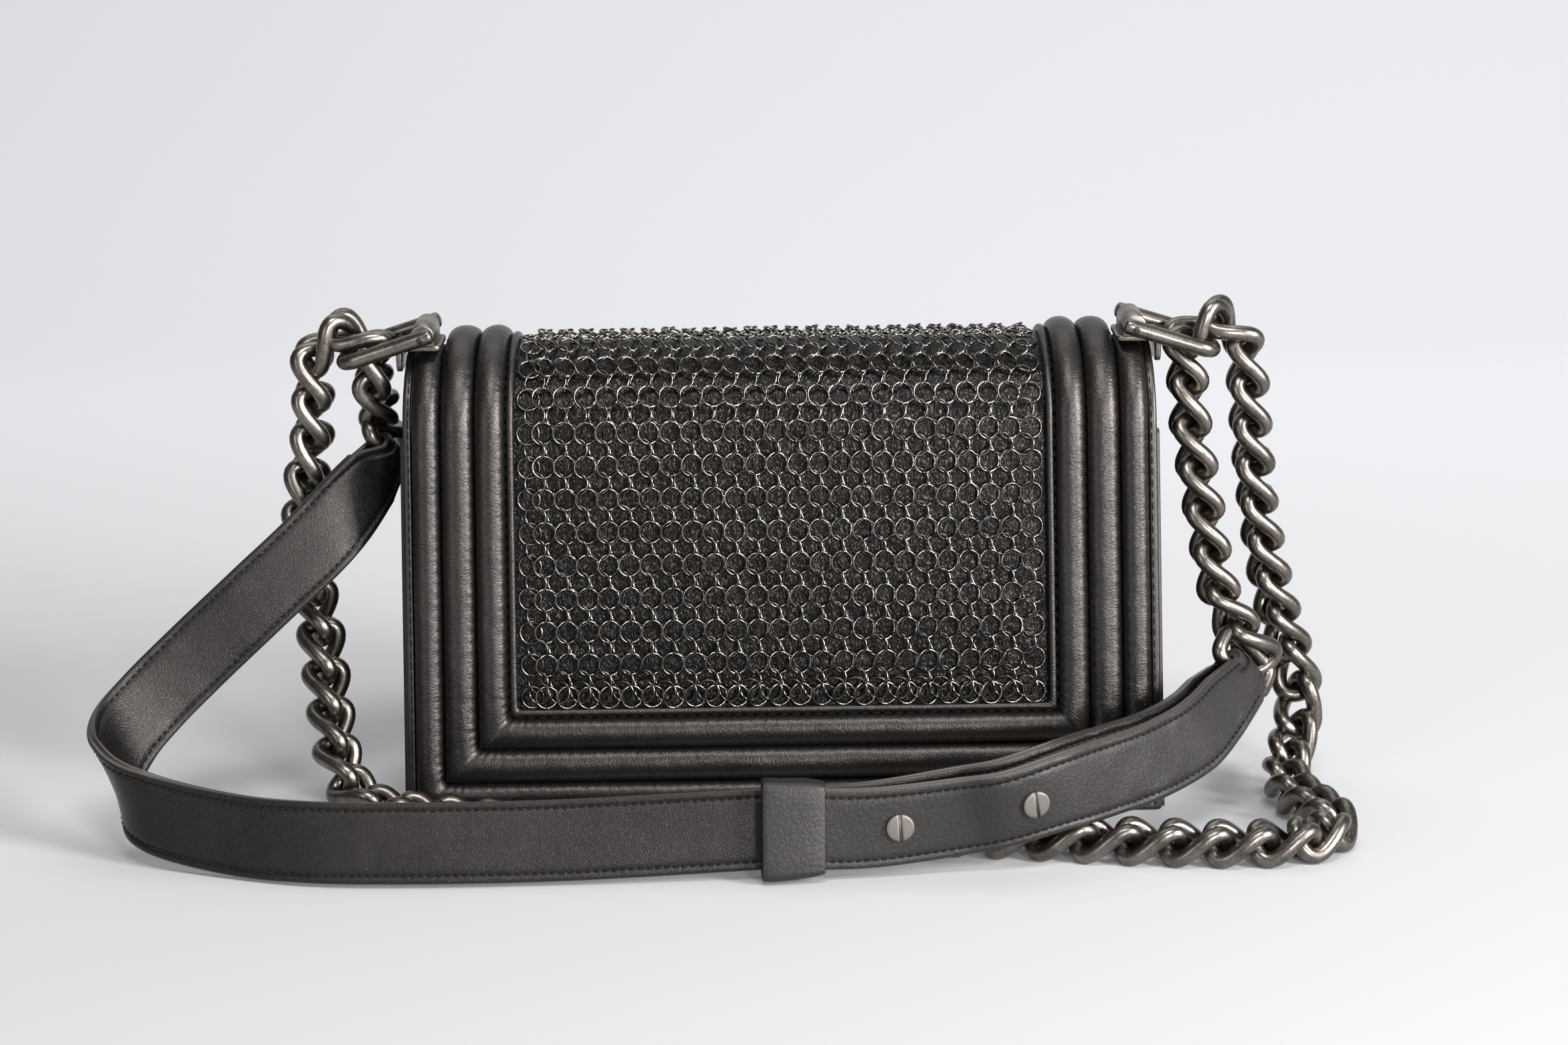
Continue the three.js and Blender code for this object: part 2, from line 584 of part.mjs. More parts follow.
// The chain: joints between links along a route, with the way that the links lie flat
const ROUTE_COLUMNS = ['x', 'y', 'z', 'flatX', 'flatY', 'flatZ'];
const MAIN_ROUTE = [
  [-117.7, -11.4, 131.5, 0, 0.99, 0.12],
  [-126.1, -10.5, 124.0, 0, 0.99, 0.12],
  [-126.6, -8.6, 113.5, 0, 1, 0.1],
  [-128.0, -5.6, 101.0, 0, 1, 0],
  [-130.1, -4.0, 91.0, 0.2, 1, 0],
  [-131.5, -3.0, 79.0, 0.3, 1, 0],
  [-130.5, -4.0, 63.0, 0.3, 1, 0],
  [-127.5, -9.0, 45.0, 0.4, 1, 0],
  [-124.9, -17.0, 29.5, 0.3, 1, 0],
  [-121.2, -27.0, 15.5, 0.2, 1, 0],
  [-115.5, -35.0, 7.0, 0.3, 1, 0],
  [-106.0, -40.5, 5.4, 0.4, 1, 0],
  [-95.0, -45.5, 5.3, 0.4, 1, 0],
  [-70.0, -53.0, 5.3, 0.2, 1, 0],
  [-30.0, -60.0, 5.3, 0.1, 1, 0],
  [10.0, -64.0, 5.3, 0.1, 1, 0],
  [42.0, -66.6, 5.3, 0.1, 1, 0],
  [63.0, -70.4, 5.3, 0.1, 1, 0],
  [85.0, -75.0, 5.3, 0.1, 1, 0],
  [108.0, -78.5, 5.3, 0, 1, 0],
  [126.0, -78.5, 5.3, -0.1, 1, 0],
  [138.0, -73.5, 5.3, -0.6, 0.8, 0],
  [142.5, -63.0, 5.3, -1, 0.2, 0],
  [140.8, -52.0, 5.3, -1, -0.2, 0],
  [138.2, -41.0, 5.3, -1, -0.2, 0],
  [136.4, -30.0, 5.6, -1, -0.2, 0],
  [138.0, -18.5, 8.4, -1, 0, 0],
  [143.0, -8.5, 15.0, -1, 0.3, 0],
  [144.6, -2.0, 25.0, -0.8, 0.6, 0],
  [142.0, 0.0, 36.0, -0.6, 0.8, 0],
  [138.6, -0.5, 47.0, -0.4, 0.9, 0],
  [135.6, -2.0, 58.5, -0.2, 1, 0],
  [131.3, -5.0, 80.0, 0, 1, 0],
  [128.6, -8.4, 100.0, 0, 1, 0],
  [127.2, -10.0, 113.0, 0, 1, 0.1],
  [126.1, -10.5, 124.0, 0, 0.99, 0.12],
  [118.0, -11.4, 132.1, 0, 0.99, 0.12],
];
const LEFT_ROUTE = [
  [-117.7, -11.4, 131.5, 0, 0.99, 0.12],
  [-109.0, -11.0, 127.6, 0, 0.99, 0.12],
  [-110.2, -8.6, 117.0, 0, 0.98, 0.21],
  [-109.8, -2.5, 108.6, 0, 0.9, 0.4],
  [-109.2, 6.6, 104.3, 0.14, 0.79, 0.59],
];
const RIGHT_ROUTE = [
  [118.0, -11.4, 132.1, 0, 0.99, 0.12],
  [109.0, -11.0, 127.6, 0, 0.99, 0.12],
  [110.4, -11.8, 116.4, 0, 1, 0.1],
  [111.0, -12.8, 105.0, 0, 1, 0],
  [112.6, -13.6, 94.0, 0, 1, 0],
  [114.6, -14.0, 82.5, 0, 1, 0],
  [117.0, -15.0, 68.0, 0, 1, 0],
  [120.0, -15.6, 55.0, -0.2, 0.9, 0],
  [125.2, -16.4, 45.6, -0.56, 0.78, -0.27],
  [131.4, -15.4, 37.0, -0.56, 0.78, -0.27],
];

function routeCurves(rows) {
  const table = rows.map((values) => Object.fromEntries(ROUTE_COLUMNS.map((name, i) => [name, values[i]])));
  return {
    line: smooth(table.map((row) => vec(row.x, row.y, row.z))),
    flat: smooth(table.map((row) => vec(row.flatX, row.flatY, row.flatZ))),
  };
}

// Steps along a curve in equal chords. Gives the parameters of the joints, as far as the curve goes.
function stepAlong(line, chord, count) {
  const fine = 4000;
  const stops = [0];
  let from = line.getPoint(0);
  for (let k = 1; k <= fine && stops.length <= count; k += 1) {
    const here = line.getPoint(k / fine);
    if (here.distanceTo(from) >= chord) {
      stops.push(k / fine);
      from = here;
    }
  }
  return stops;
}

// Joints from end to end: the pitch is trimmed until the last joint falls on the end of the route.
function joints(line) {
  const count = Math.round(line.getLength() / LINK.pitch);
  let low = 0.85 * LINK.pitch;
  let high = 1.15 * LINK.pitch;
  for (let round = 0; round < 24; round += 1) {
    const chord = (low + high) / 2;
    if (stepAlong(line, chord, count).length > count) {
      low = chord;
    } else {
      high = chord;
    }
  }
  return stepAlong(line, low, count);
}

function linkFrames(rows) {
  const { line, flat } = routeCurves(rows);
  const stops = joints(line);
  return stops.slice(1).map((t, i) => {
    const from = line.getPoint(stops[i]);
    const to = line.getPoint(t);
    const along = to.clone().sub(from).normalize();
    const across = squareTo(flat.getPoint((stops[i] + t) / 2), along);
    return { at: from.add(to).multiplyScalar(0.5), along, across, up: along.clone().cross(across) };
  });
}

// One closed loop of wire through points around a middle.
function wireLoop(points, middle) {
  const count = points.length;
  const radius = LINK.wire / 2;
  return loft(points.map((p, i) => {
    const along = points[(i + 1) % count].clone().sub(points[(i + count - 1) % count]).normalize();
    const out = squareTo(p.clone().sub(middle), along);
    const side = along.clone().cross(out);
    return Array.from({ length: LINK.sides }, (_, k) => {
      const angle = (2 * Math.PI * (k + 0.5)) / LINK.sides;
      const rim = p.clone().addScaledVector(out, radius * Math.cos(angle));
      return rim.addScaledVector(side, radius * Math.sin(angle));
    });
  }), true);
}

function curbLink({ at, along, across, up }) {
  return wireLoop(Array.from({ length: LINK.steps }, (_, i) => {
    const angle = (2 * Math.PI * (i + 0.5)) / LINK.steps;
    return at.clone()
      .addScaledVector(along, LINK.halfLength * Math.cos(angle))
      .addScaledVector(across, LINK.halfWidth * Math.sin(angle))
      .addScaledVector(up, -LINK.twist * Math.sin(2 * angle));
  }), at);
}

// A long plain link between the fold of the strap and the last curb link.
function endLink(end, frame) {
  const hooked = frame.at.clone().addScaledVector(frame.along, LINK.halfLength - 0.93 * LINK.wire);
  const across = squareTo(hooked.clone().sub(end.bar), end.across);
  const half = hooked.clone().sub(end.bar).dot(across) / 2;
  const middle = end.bar.clone().addScaledVector(across, half);
  return wireLoop(END_LINK.outline.map(([long, short]) => middle.clone()
    .addScaledVector(end.across, END_LINK.halfLength * long)
    .addScaledVector(across, half * short)), middle);
}

function buildChain() {
  const [main, left, right] = [MAIN_ROUTE, LEFT_ROUTE, RIGHT_ROUTE].map(linkFrames);
  const links = [...main, ...left, ...right].map(curbLink);
  const ends = [endLink(strapEnds.left, left.at(-1)), endLink(strapEnds.right, right.at(-1))];
  addPiece('chain', fromSolid(wasm.Manifold.union([...links, ...ends].map(toSolid))), METAL);
}

buildPanels();
buildFrame();
buildMailAndClasp();
buildHardware();
buildStrap();
buildChain();

export default bag;
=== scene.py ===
"""Dresses the packed flap bag: padded frame, ring mail, curb chain, shoulder strap and a studio round it.

Lengths inside the functions are millimetres in the frame of the packed part, and metres in the meshes.
The studio with its lamps and camera is in metres throughout.
"""

import math

import bmesh
import bpy
import numpy as np
from bpy.props import FloatProperty, FloatVectorProperty, IntProperty, PointerProperty
from mathutils import Matrix, Vector


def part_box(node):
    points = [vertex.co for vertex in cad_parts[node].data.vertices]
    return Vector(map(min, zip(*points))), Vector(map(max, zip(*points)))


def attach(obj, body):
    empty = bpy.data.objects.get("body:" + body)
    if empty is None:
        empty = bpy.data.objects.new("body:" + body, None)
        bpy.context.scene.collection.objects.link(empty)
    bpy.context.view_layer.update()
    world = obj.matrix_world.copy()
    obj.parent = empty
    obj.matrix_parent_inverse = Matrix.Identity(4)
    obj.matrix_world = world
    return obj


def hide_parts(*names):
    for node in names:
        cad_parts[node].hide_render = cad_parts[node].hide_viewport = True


bl_info = {
    "name": "Flap bag dressing",
    "version": (1, 0, 0),
    "blender": (4, 5, 0),
    "location": "View3D > Sidebar > Flap bag",
    "description": "Builds the leather, mail, chain and strap of a flap bag around its packed frame",
    "category": "Object",
}

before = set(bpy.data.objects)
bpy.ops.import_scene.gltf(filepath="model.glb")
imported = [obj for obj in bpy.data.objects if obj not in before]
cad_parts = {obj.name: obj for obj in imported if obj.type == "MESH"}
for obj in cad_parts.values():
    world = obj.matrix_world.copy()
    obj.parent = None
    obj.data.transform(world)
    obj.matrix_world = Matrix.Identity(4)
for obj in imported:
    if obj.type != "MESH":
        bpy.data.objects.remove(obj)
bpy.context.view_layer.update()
MM = 0.001
BODY = "root"
GRAIN = "grain"

# How far the grain of one copy of a shape lies from that of the next
GRAIN_SHIFT = 17.3
ENDS = ((-1, "left"), (1, "right"))

# The leather: its lower edge, its thickness, the room between pieces, and how much narrower the top is
SKIRT_Z = 0.4
LEATHER = 2.0
GAP = 0.3
TOP_TAPER = 0.019
# From one point of a panel's face to the next
SHEET_STEP = 1.05
# Places on the cover, in from its outer edge
BINDING_END = 2.1
OUTER_ROLL = (2.4, 9.9)
MIDDLE_ROLL = (10.2, 19.0)
INNER_ROLL = (19.3, 27.5)
PIPING_AT = 29.0
MAIL_INSET = 31.6
# The front, the gussets and the base
FRONT_STEP = 2.6
FRONT_TOP = 98.0
GUSSET_TOP = 102.5
GUSSET_DENT = 4.5
GUSSET_PROUD = 1.8
GUSSET_RIM = 0.5
BASE_HALF = 100.2
BASE_BACK = -29.4
BASE_FRONT = 26.8
BASE_TOP = 2.0
# The padding: from one station to the next, points of a section and its shape, puckers, lumps and fullness
FRAME_STEP = 0.8
ROLL_POINTS = 20
ROLL_SHAPE = 0.72
PUCKER = 0.3
LUMPS = 0.1
PIPING_RADIUS = 1.1
# The seams: height beside a roll, place and height beside the piping, and thickness of each thread
ROLL_SEAM = 1.0
PIPING_SEAM = (1.3, 1.2)
ROLL_THREAD = 0.24
BINDING_THREAD = 0.2
PIPING_THREAD = 0.26
# The bound edge: its height over the leather's level at the back and front, and the groove of its stitches
BINDING_TOP = {"back": 1.2, "front": -0.6}
BINDING_GROOVE = 1.35
# Corners of the frame: radius, steps, and the run beside a corner in which the stations move with the inset
CORNER = 1.1
CORNER_STEPS = 5
MITRE_RUN = 7.0
# The outer roll goes flat under the brackets: angle over the top, and the height left there
SHOULDER = ((0, 9), (24, 9), (45, 4), (60, 2.3), (74, 1))

# The strap: middle of each row, the way across it from lower to upper edge, and its width
SINGLE_ROWS = (
    (-112.0, -8.3, 90.3, -9.5, -9.4, 14.9, 19.5),
    (-124.5, -18.0, 76.0, -13.0, 1.0, 15.3, 20.5),
    (-141.5, -24.5, 60.6, -12.9, 1.1, 15.6, 20.5),
    (-159.1, -29.6, 44.7, -12.6, 1.3, 16.1, 20.5),
    (-169.4, -34.9, 34.9, -11.8, 1.8, 17.0, 20.5),
    (-175.0, -41.6, 28.4, -9.8, 2.6, 17.7, 20.5),
    (-176.0, -50.3, 22.8, -7.9, 3.5, 18.2, 20.5),
    (-172.0, -59.8, 17.9, -7.6, 4.2, 19.0, 20.5),
    (-164.4, -66.4, 14.4, -6.8, 4.8, 19.3, 20.5),
    (-141.0, -76.0, 11.0, -4.3, 5.6, 19.4, 20.5),
    (-119.6, -82.4, 10.6, -2.4, 6.4, 19.2, 20.5),
    (-96.3, -84.6, 10.6, -0.9, 6.5, 19.3, 20.5),
    (-60.0, -84.4, 10.7, 0.0, 6.4, 19.4, 20.5),
    (-22.0, -83.6, 12.0, 0.0, 4.4, 19.7, 20.5),
)
# The doubled stretch, given for the layer on the outside
DOUBLE_ROWS = (
    (2.0, -86.4, 13.5, 0.0, 2.8, 19.8, 20.5),
    (20.8, -85.6, 13.2, -0.6, 0.0, 20.0, 20.5),
    (44.8, -83.8, 15.4, -2.2, -2.6, 20.1, 20.5),
    (55.5, -84.8, 17.4, -3.4, -4.0, 19.6, 20.5),
    (69.5, -80.6, 20.3, -4.8, -3.6, 19.5, 20.5),
    (82.0, -72.0, 21.3, -6.2, -3.0, 19.0, 20.5),
    (97.0, -60.6, 22.9, -8.6, -3.8, 18.0, 20.5),
    (109.5, -48.8, 26.0, -11.0, -5.8, 16.4, 20.5),
    (117.6, -38.2, 30.4, -12.4, -5.6, 15.0, 18.5),
    (125.4, -27.2, 34.6, -13.4, -4.7, 14.1, 14.5),
)
LAYER_SPREAD = (3.5, 3.5, 3.5, 3.5, 3.5, 3.5, 3.6, 4.4, 5.8, 7.9)
BAND_LIFT = (0, 0.6, 1.6, 1.8, 2.1, 2.3, 2, 1.2, 0.6, 0)
TAB_THICKNESS = 1.6
FOLD_WIDTH = 10.8
# The bars in the strap's folds: how far beyond its last rows, and off its face at the left
BAR_RIGHT = 3
BAR_LEFT = 8
BAR_LEFT_OFF = 1.2
# Screws: places along x, radii of the parts, middle of a half head, half the slot, and height of the face
SCREW_PLACES = (28.5, 62.2)
SCREW_HEAD = 3.6
SCREW_FLANGE = 3.3
SCREW_SHANK = 1.6
SCREW_MIDDLE = 0.2
SCREW_HALF_MIDDLE = 1.6
SCREW_SLOT = 0.36
SCREW_PROUD = 0.12
# The keeper: its place along x, the room inside it, its wall, its corners and how far it sags
KEEPER_PLACE = 2.1
KEEPER_ROOM = 0.6
KEEPER_WALL = 1.4
KEEPER_CORNER = 1.5
KEEPER_SAG = 0.9

# The chain's routes: places of its line, and the way that its links lie flat
MAIN_ROUTE = (
    (-117.7, -11.4, 131.5, 0, 0.99, 0.12),
    (-126.1, -10.5, 124.0, 0, 0.99, 0.12),
    (-126.6, -8.6, 113.5, 0, 1, 0.1),
    (-128.0, -5.6, 101.0, 0, 1, 0),
    (-130.1, -4.0, 91.0, 0.2, 1, 0),
    (-131.5, -3.0, 79.0, 0.3, 1, 0),
    (-130.5, -4.0, 63.0, 0.3, 1, 0),
    (-127.5, -9.0, 45.0, 0.4, 1, 0),
    (-124.9, -17.0, 29.5, 0.3, 1, 0),
    (-121.2, -27.0, 15.5, 0.2, 1, 0),
    (-115.5, -35.0, 7.0, 0.3, 1, 0),
    (-106.0, -40.5, 5.4, 0.4, 1, 0),
    (-95.0, -45.5, 5.3, 0.4, 1, 0),
    (-70.0, -53.0, 5.3, 0.2, 1, 0),
    (-30.0, -60.0, 5.3, 0.1, 1, 0),
    (10.0, -64.0, 5.3, 0.1, 1, 0),
    (42.0, -66.6, 5.3, 0.1, 1, 0),
    (63.0, -70.4, 5.3, 0.1, 1, 0),
    (85.0, -75.0, 5.3, 0.1, 1, 0),
    (108.0, -78.5, 5.3, 0, 1, 0),
    (126.0, -78.5, 5.3, -0.1, 1, 0),
    (138.0, -73.5, 5.3, -0.6, 0.8, 0),
    (142.5, -63.0, 5.3, -1, 0.2, 0),
    (140.8, -52.0, 5.3, -1, -0.2, 0),
    (138.2, -41.0, 5.3, -1, -0.2, 0),
    (136.4, -30.0, 5.6, -1, -0.2, 0),
    (138.0, -18.5, 8.4, -1, 0, 0),
    (143.0, -8.5, 15.0, -1, 0.3, 0),
    (144.6, -2.0, 25.0, -0.8, 0.6, 0),
    (142.0, 0.0, 36.0, -0.6, 0.8, 0),
    (138.6, -0.5, 47.0, -0.4, 0.9, 0),
    (135.6, -2.0, 58.5, -0.2, 1, 0),
    (131.3, -5.0, 80.0, 0, 1, 0),
    (128.6, -8.4, 100.0, 0, 1, 0),
    (127.2, -10.0, 113.0, 0, 1, 0.1),
    (126.1, -10.5, 124.0, 0, 0.99, 0.12),
    (118.0, -11.4, 132.1, 0, 0.99, 0.12),
)
LEFT_ROUTE = (
    (-117.7, -11.4, 131.5, 0, 0.99, 0.12),
    (-109.0, -11.0, 127.6, 0, 0.99, 0.12),
    (-110.2, -8.6, 117.0, 0, 0.98, 0.21),
    (-109.8, -2.5, 108.6, 0, 0.9, 0.4),
    (-109.2, 6.6, 104.3, 0.14, 0.79, 0.59),
)
RIGHT_ROUTE = (
    (118.0, -11.4, 132.1, 0, 0.99, 0.12),
    (109.0, -11.0, 127.6, 0, 0.99, 0.12),
    (110.4, -11.8, 116.4, 0, 1, 0.1),
    (111.0, -12.8, 105.0, 0, 1, 0),
    (112.6, -13.6, 94.0, 0, 1, 0),
    (114.6, -14.0, 82.5, 0, 1, 0),
    (117.0, -15.0, 68.0, 0, 1, 0),
    (120.0, -15.6, 55.0, -0.2, 0.9, 0),
    (125.2, -16.4, 45.6, -0.56, 0.78, -0.27),
    (131.4, -15.4, 37.0, -0.56, 0.78, -0.27),
)
# Links: steps round a link, sides of its wire, and how deep one wire hooks into the next
LINK_STEPS = 44
LINK_SIDES = 14
LINK_HOOK = 0.93
# End links: half length, steps and the shape of the corners
END_LINK_HALF = 9.4
END_LINK_STEPS = 56
END_LINK_SHAPE = 0.5

# The hardware at the two top corners
BRACKET_PLACE = (95.2, -11.0, 128.4)
BRACKET_TILT = 7.0
BRACKET_INNER = 4.8
BRACKET_OUTER = 7.4
BRACKET_DEPTH = 14.0
BRACKET_PLATE = 1.5
BRACKET_DROP = 7.5
BRACKET_EDGE = 0.3
BRACKET_CORNER = 1.6
LEG_DEPTH = 12.0
LEG_CORNER = 1.8
LUG_WIDTH = 6.4
LUG_FOOT = -0.6
PIN_UP = 2.6
BAIL_SPREAD = 18.4
BAIL_REACH = 22.4
BAIL_SLOPE = 17.7
BAIL_CORNER = 4.2
BAIL_EYE = 2.3
# The clasp plate: its middle in from the cover's far edge, half its height, its corners and its two levels
CLASP_AT = 20.5
CLASP_HALF = 12.0
CLASP_CORNER = 3.0
CLASP_PLATE = 2.2
CLASP_FIELD = 2.6

# The paper of the studio: half its width, its front edge, the end of its flat part, its bend and its top
PAPER_HALF = 3.5
PAPER_FRONT = -2.4
PAPER_FLAT = 0.9
PAPER_BEND = 1.2
PAPER_TOP = 3.4
AIR_COLOUR = (0.86, 0.88, 0.92, 1.0)
AIR_STRENGTH = 0.15
# Lamps: name, place, aim, width, height and power
LAMPS = (
    ("key_right", (1.2, -0.86, 0.5), (0.0, 0.0, 0.08), 0.34, 0.8, 46.0),
    ("over_front", (0.1, -0.6, 0.95), (0.0, 0.0, 0.05), 0.5, 0.25, 7.5),
    ("top_soft", (0.0, 0.35, 1.2), (0.0, 0.0, 0.05), 1.2, 0.6, 5.0),
    ("fill_left", (-0.5, -0.75, 0.3), (0.0, 0.0, 0.08), 0.1, 0.45, 1.4),
    ("front_right", (0.37, -1.0, 0.24), (-0.12, 0.0, 0.07), 0.14, 0.14, 7.0),
)
# The camera: lens and sensor in millimetres, then how far it looks down and leans, in degrees
CAMERA_PLACE = (0.0008, -0.715, 0.215)
CAMERA_LENS = 60.2
CAMERA_SENSOR = 36.0
CAMERA_NEAR = 0.05
CAMERA_DOWN = 11.108
CAMERA_LEAN = -0.85


# Sizes and colours that a user would change


def length(name, description, default):
    return FloatProperty(name=name, description=description, default=default, unit="LENGTH", precision=4)


def colour(name, description, default):
    return FloatVectorProperty(name=name, description=description, default=default, subtype="COLOR", size=3,
                               min=0.0, max=1.0)


class BodySizes(bpy.types.PropertyGroup):
    """Sizes of the bag's body"""

    half_width: length("Half width", "Middle to outer edge at the base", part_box("binding_back")[1][0])
    height: length("Height", "Floor to the top of the leather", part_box("flap")[1][2])
    dome: length("Top radius", "Radius of the rounded top, seen from the side", 0.024)
    depth: length("Half depth", "Middle to the foot of the back", 0.032)
    roll: length("Roll height", "How far the padded rolls stand out", 0.0041)
    stitch: length("Stitch", "From one stitch of the frame to the next", 0.0031)


class MailSizes(bpy.types.PropertyGroup):
    """Sizes of the ring mail"""

    radius: length("Ring radius", "Middle of the wire, from the ring's middle", 0.00295)
    wire: length("Ring wire", "Thickness of a ring's wire", 0.00063)
    across: length("Column pitch", "From one column of rings to the next", 0.00574)
    along: length("Row pitch", "From one row of rings to the next but one", 0.0091)
    seed: IntProperty(name="Unevenness", description="Choice of the rings' small turns", default=7)


class ChainSizes(bpy.types.PropertyGroup):
    """Sizes of the curb chain and the bails"""

    wire: length("Link wire", "Thickness of a link's wire", 0.0043)
    half_length: length("Link half length", "Middle of the link to the middle of its end", 0.0079)
    half_width: length("Link half width", "Middle of the link to the middle of its side", 0.0045)
    twist: length("Link twist", "How far the sides turn out of the link's plane", 0.0034)
    pitch: length("Pitch", "From one link to the next", 0.01135)


class StrapSizes(bpy.types.PropertyGroup):
    """Sizes of the shoulder strap"""

    width: length("Width", "Width of the strap", 0.0205)
    thickness: length("Thickness", "Thickness of one layer of two plies", 0.003)
    layer: length("Layer", "From one layer to the next", 0.0035)
    stitch: length("Stitch", "From one stitch to the next", 0.0022)
    keeper: length("Keeper", "Length of the keeper loop", 0.016)


class Finishes(bpy.types.PropertyGroup):
    """Colours of the finishes"""

    # The low leather colours also paint shade into creases and between the glints of the leather behind the
    # rings; the high colours, made paler, paint highlights on the binding and the strap's edges.
    bag_dark: colour("Bag leather, low", "Leather in its creases", (0.006, 0.0054, 0.0052))
    bag_light: colour("Bag leather, high", "Leather on its grain", (0.063, 0.0572, 0.0535))
    strap_dark: colour("Strap leather, low", "Strap leather in its creases", (0.010, 0.009, 0.0086))
    strap_light: colour("Strap leather, high", "Strap leather on its grain", (0.039, 0.0353, 0.0331))
    metal_dark: colour("Dark metal, low", "Dull patches of the chain", (0.070, 0.062, 0.055))
    metal_light: colour("Dark metal, high", "Rubbed patches of the chain", (0.235, 0.21, 0.185))
    screw: colour("Screws", "Brushed screw heads", (0.22, 0.20, 0.185))
    thread: colour("Thread", "Sewing thread", (0.004, 0.0038, 0.0035))
    floor: colour("Floor", "Floor and backdrop", (0.425, 0.427, 0.432))


# Finishes: node trees written as expressions


class Value:
    """A socket of a finish. Arithmetic on it adds Math nodes."""

    def __init__(self, finish, socket):
        self.finish = finish
        self.socket = socket

    def _math(self, operation, first, second):
        return self.finish.node("ShaderNodeMath", {"operation": operation}, {0: first, 1: second})

    def __add__(self, other):
        return self._math("ADD", self, other)

    def __radd__(self, other):
        return self._math("ADD", other, self)

    def __sub__(self, other):
        return self._math("SUBTRACT", self, other)

    def __rsub__(self, other):
        return self._math("SUBTRACT", other, self)

    def __mul__(self, other):
        return self._math("MULTIPLY", self, other)

    def __rmul__(self, other):
        return self._math("MULTIPLY", other, self)


class Finish:
    """A material under a Principled shader, built from expressions."""

    def __init__(self, name, **constants):
        self.material = bpy.data.materials.new(name)
        self.material.use_nodes = True
        self.tree = self.material.node_tree
        self.shader = next(n for n in self.tree.nodes if n.type == "BSDF_PRINCIPLED")
        for socket, value in constants.items():
            self.shader.inputs[socket.replace("_", " ")].default_value = value

    def node(self, kind, settings=None, inputs=None, output=0):
        made = self.tree.nodes.new(kind)
        for name, value in (settings or {}).items():
            if name == "stops":
                self._set_stops(made.color_ramp, value)
            else:
                setattr(made, name, value)
        for name, value in (inputs or {}).items():
            if isinstance(value, Value):
                self.tree.links.new(value.socket, made.inputs[name])
            else:
                made.inputs[name].default_value = value
        return Value(self, made.outputs[output])

    @staticmethod
    def _set_stops(ramp, stops):
        while len(ramp.elements) < len(stops):
            ramp.elements.new(1.0)
        for element, (place, shade) in zip(ramp.elements, stops):
            element.position = place
            element.color = (shade, shade, shade, 1.0)

    def feed(self, name, value):
        self.tree.links.new(value.socket, self.shader.inputs[name])

    def grain(self):
        settings = {"attribute_type": "GEOMETRY", "attribute_name": GRAIN}
        return self.node("ShaderNodeAttribute", settings, None, "Vector")

    def scaled(self, vector, x, y, z):
        return self.node("ShaderNodeVectorMath", {"operation": "MULTIPLY"}, {0: vector, 1: (x, y, z)})

    def noise(self, vector, scale, detail=2.0, roughness=0.5, distortion=0.0):
        inputs = {"Vector": vector, "Scale": scale, "Detail": detail, "Roughness": roughness,
                  "Distortion": distortion}
        return self.node("ShaderNodeTexNoise", None, inputs, "Fac")

    def cells(self, vector, scale, feature="F1"):
        inputs = {"Vector": vector, "Scale": scale}
        return self.node("ShaderNodeTexVoronoi", {"feature": feature}, inputs, "Distance")

    def ramp(self, value, *stops):
        return self.node("ShaderNodeValToRGB", {"stops": stops}, {0: value})

    def blend(self, share, low, high):
        ends = [end if isinstance(end, Value) else (*end, 1.0) for end in (low, high)]
        return self.node("ShaderNodeMix", {"data_type": "RGBA"}, {0: share, 6: ends[0], 7: ends[1]}, 2)

    def bent(self, vector, scale, reach):
        """The same place, pushed about by soft noise."""
        inputs = {"Vector": vector, "Scale": scale, "Detail": 3.0}
        push = self.node("ShaderNodeTexNoise", None, inputs, "Color")
        far = self.scaled(push, reach, reach, reach)
        return self.node("ShaderNodeVectorMath", {"operation": "ADD"}, {0: vector, 1: far})

    def relief(self, height, distance):
        inputs = {"Height": height, "Distance": distance * MM, "Strength": 1.0}
        self.feed("Normal", self.node("ShaderNodeBump", None, inputs))


def shaded(tone, factor):
    return tuple(factor * part for part in tone)


def pebbled_leather(name, low, high, metallic, roughness, size, reach, relief):
    """Grained leather with a metal finish: pebbles of a size, drawn out across the way of the padding."""
    finish = Finish(name, Metallic=metallic, Specular_IOR_Level=0.45)
    place = finish.grain()
    drawn = finish.scaled(place, 1.0, reach, reach)
    wrinkles = finish.noise(drawn, 0.8 / size, 2.0, 0.55, 0.5)
    pebbles = finish.cells(drawn, 1.0 / size)
    fine = finish.noise(drawn, 2.2 / size, 3.0, 0.6)
    patches = finish.noise(place, 0.05, 3.0)
    dome = 1.0 - pebbles * pebbles
    height = 0.3 * dome + 0.5 * fine + 0.9 * wrinkles
    # The colour is darker between the pebbles, which is painted shade in their creases; the fine noise and
    # the patches vary it at random.
    shade = finish.ramp(0.3 * dome + 0.7 * fine, (0.1, 0.3), (0.9, 1.0))
    finish.feed("Base Color", finish.blend(shade * (0.75 + 0.4 * patches), low, high))
    finish.feed("Roughness", roughness + 0.12 * (fine - 0.5) + 0.08 * (patches - 0.5))
    finish.relief(height, relief)
    return finish.material


def crinkled_leather(name, low, high):
    """The foil-like leather behind the rings: short upright wrinkles, whose glints are painted into the
    colour as bright strokes on a dark ground that is painted shade between them.
    """
    finish = Finish(name, Metallic=0.85, Specular_IOR_Level=0.5)
    place = finish.grain()
    upright = finish.scaled(place, 1.0, 0.55, 0.55)
    folds = finish.noise(upright, 2.2, 2.0, 0.5, 0.5)
    broad = finish.noise(upright, 0.7, 2.0, 0.5)
    height = folds + 0.9 * broad
    # Painted highlight and shade: bright strokes on the folds' ridges stand for glints, and the dark low
    # colour between them stands for shade.
    painted_glints = finish.ramp(folds, (0.54, 0.0), (0.76, 1.0))
    finish.feed("Base Color", finish.blend(painted_glints, low, shaded(high, 1.6)))
    finish.feed("Roughness", 0.24 + 0.14 * broad)
    finish.relief(height, 0.22)
    return finish.material


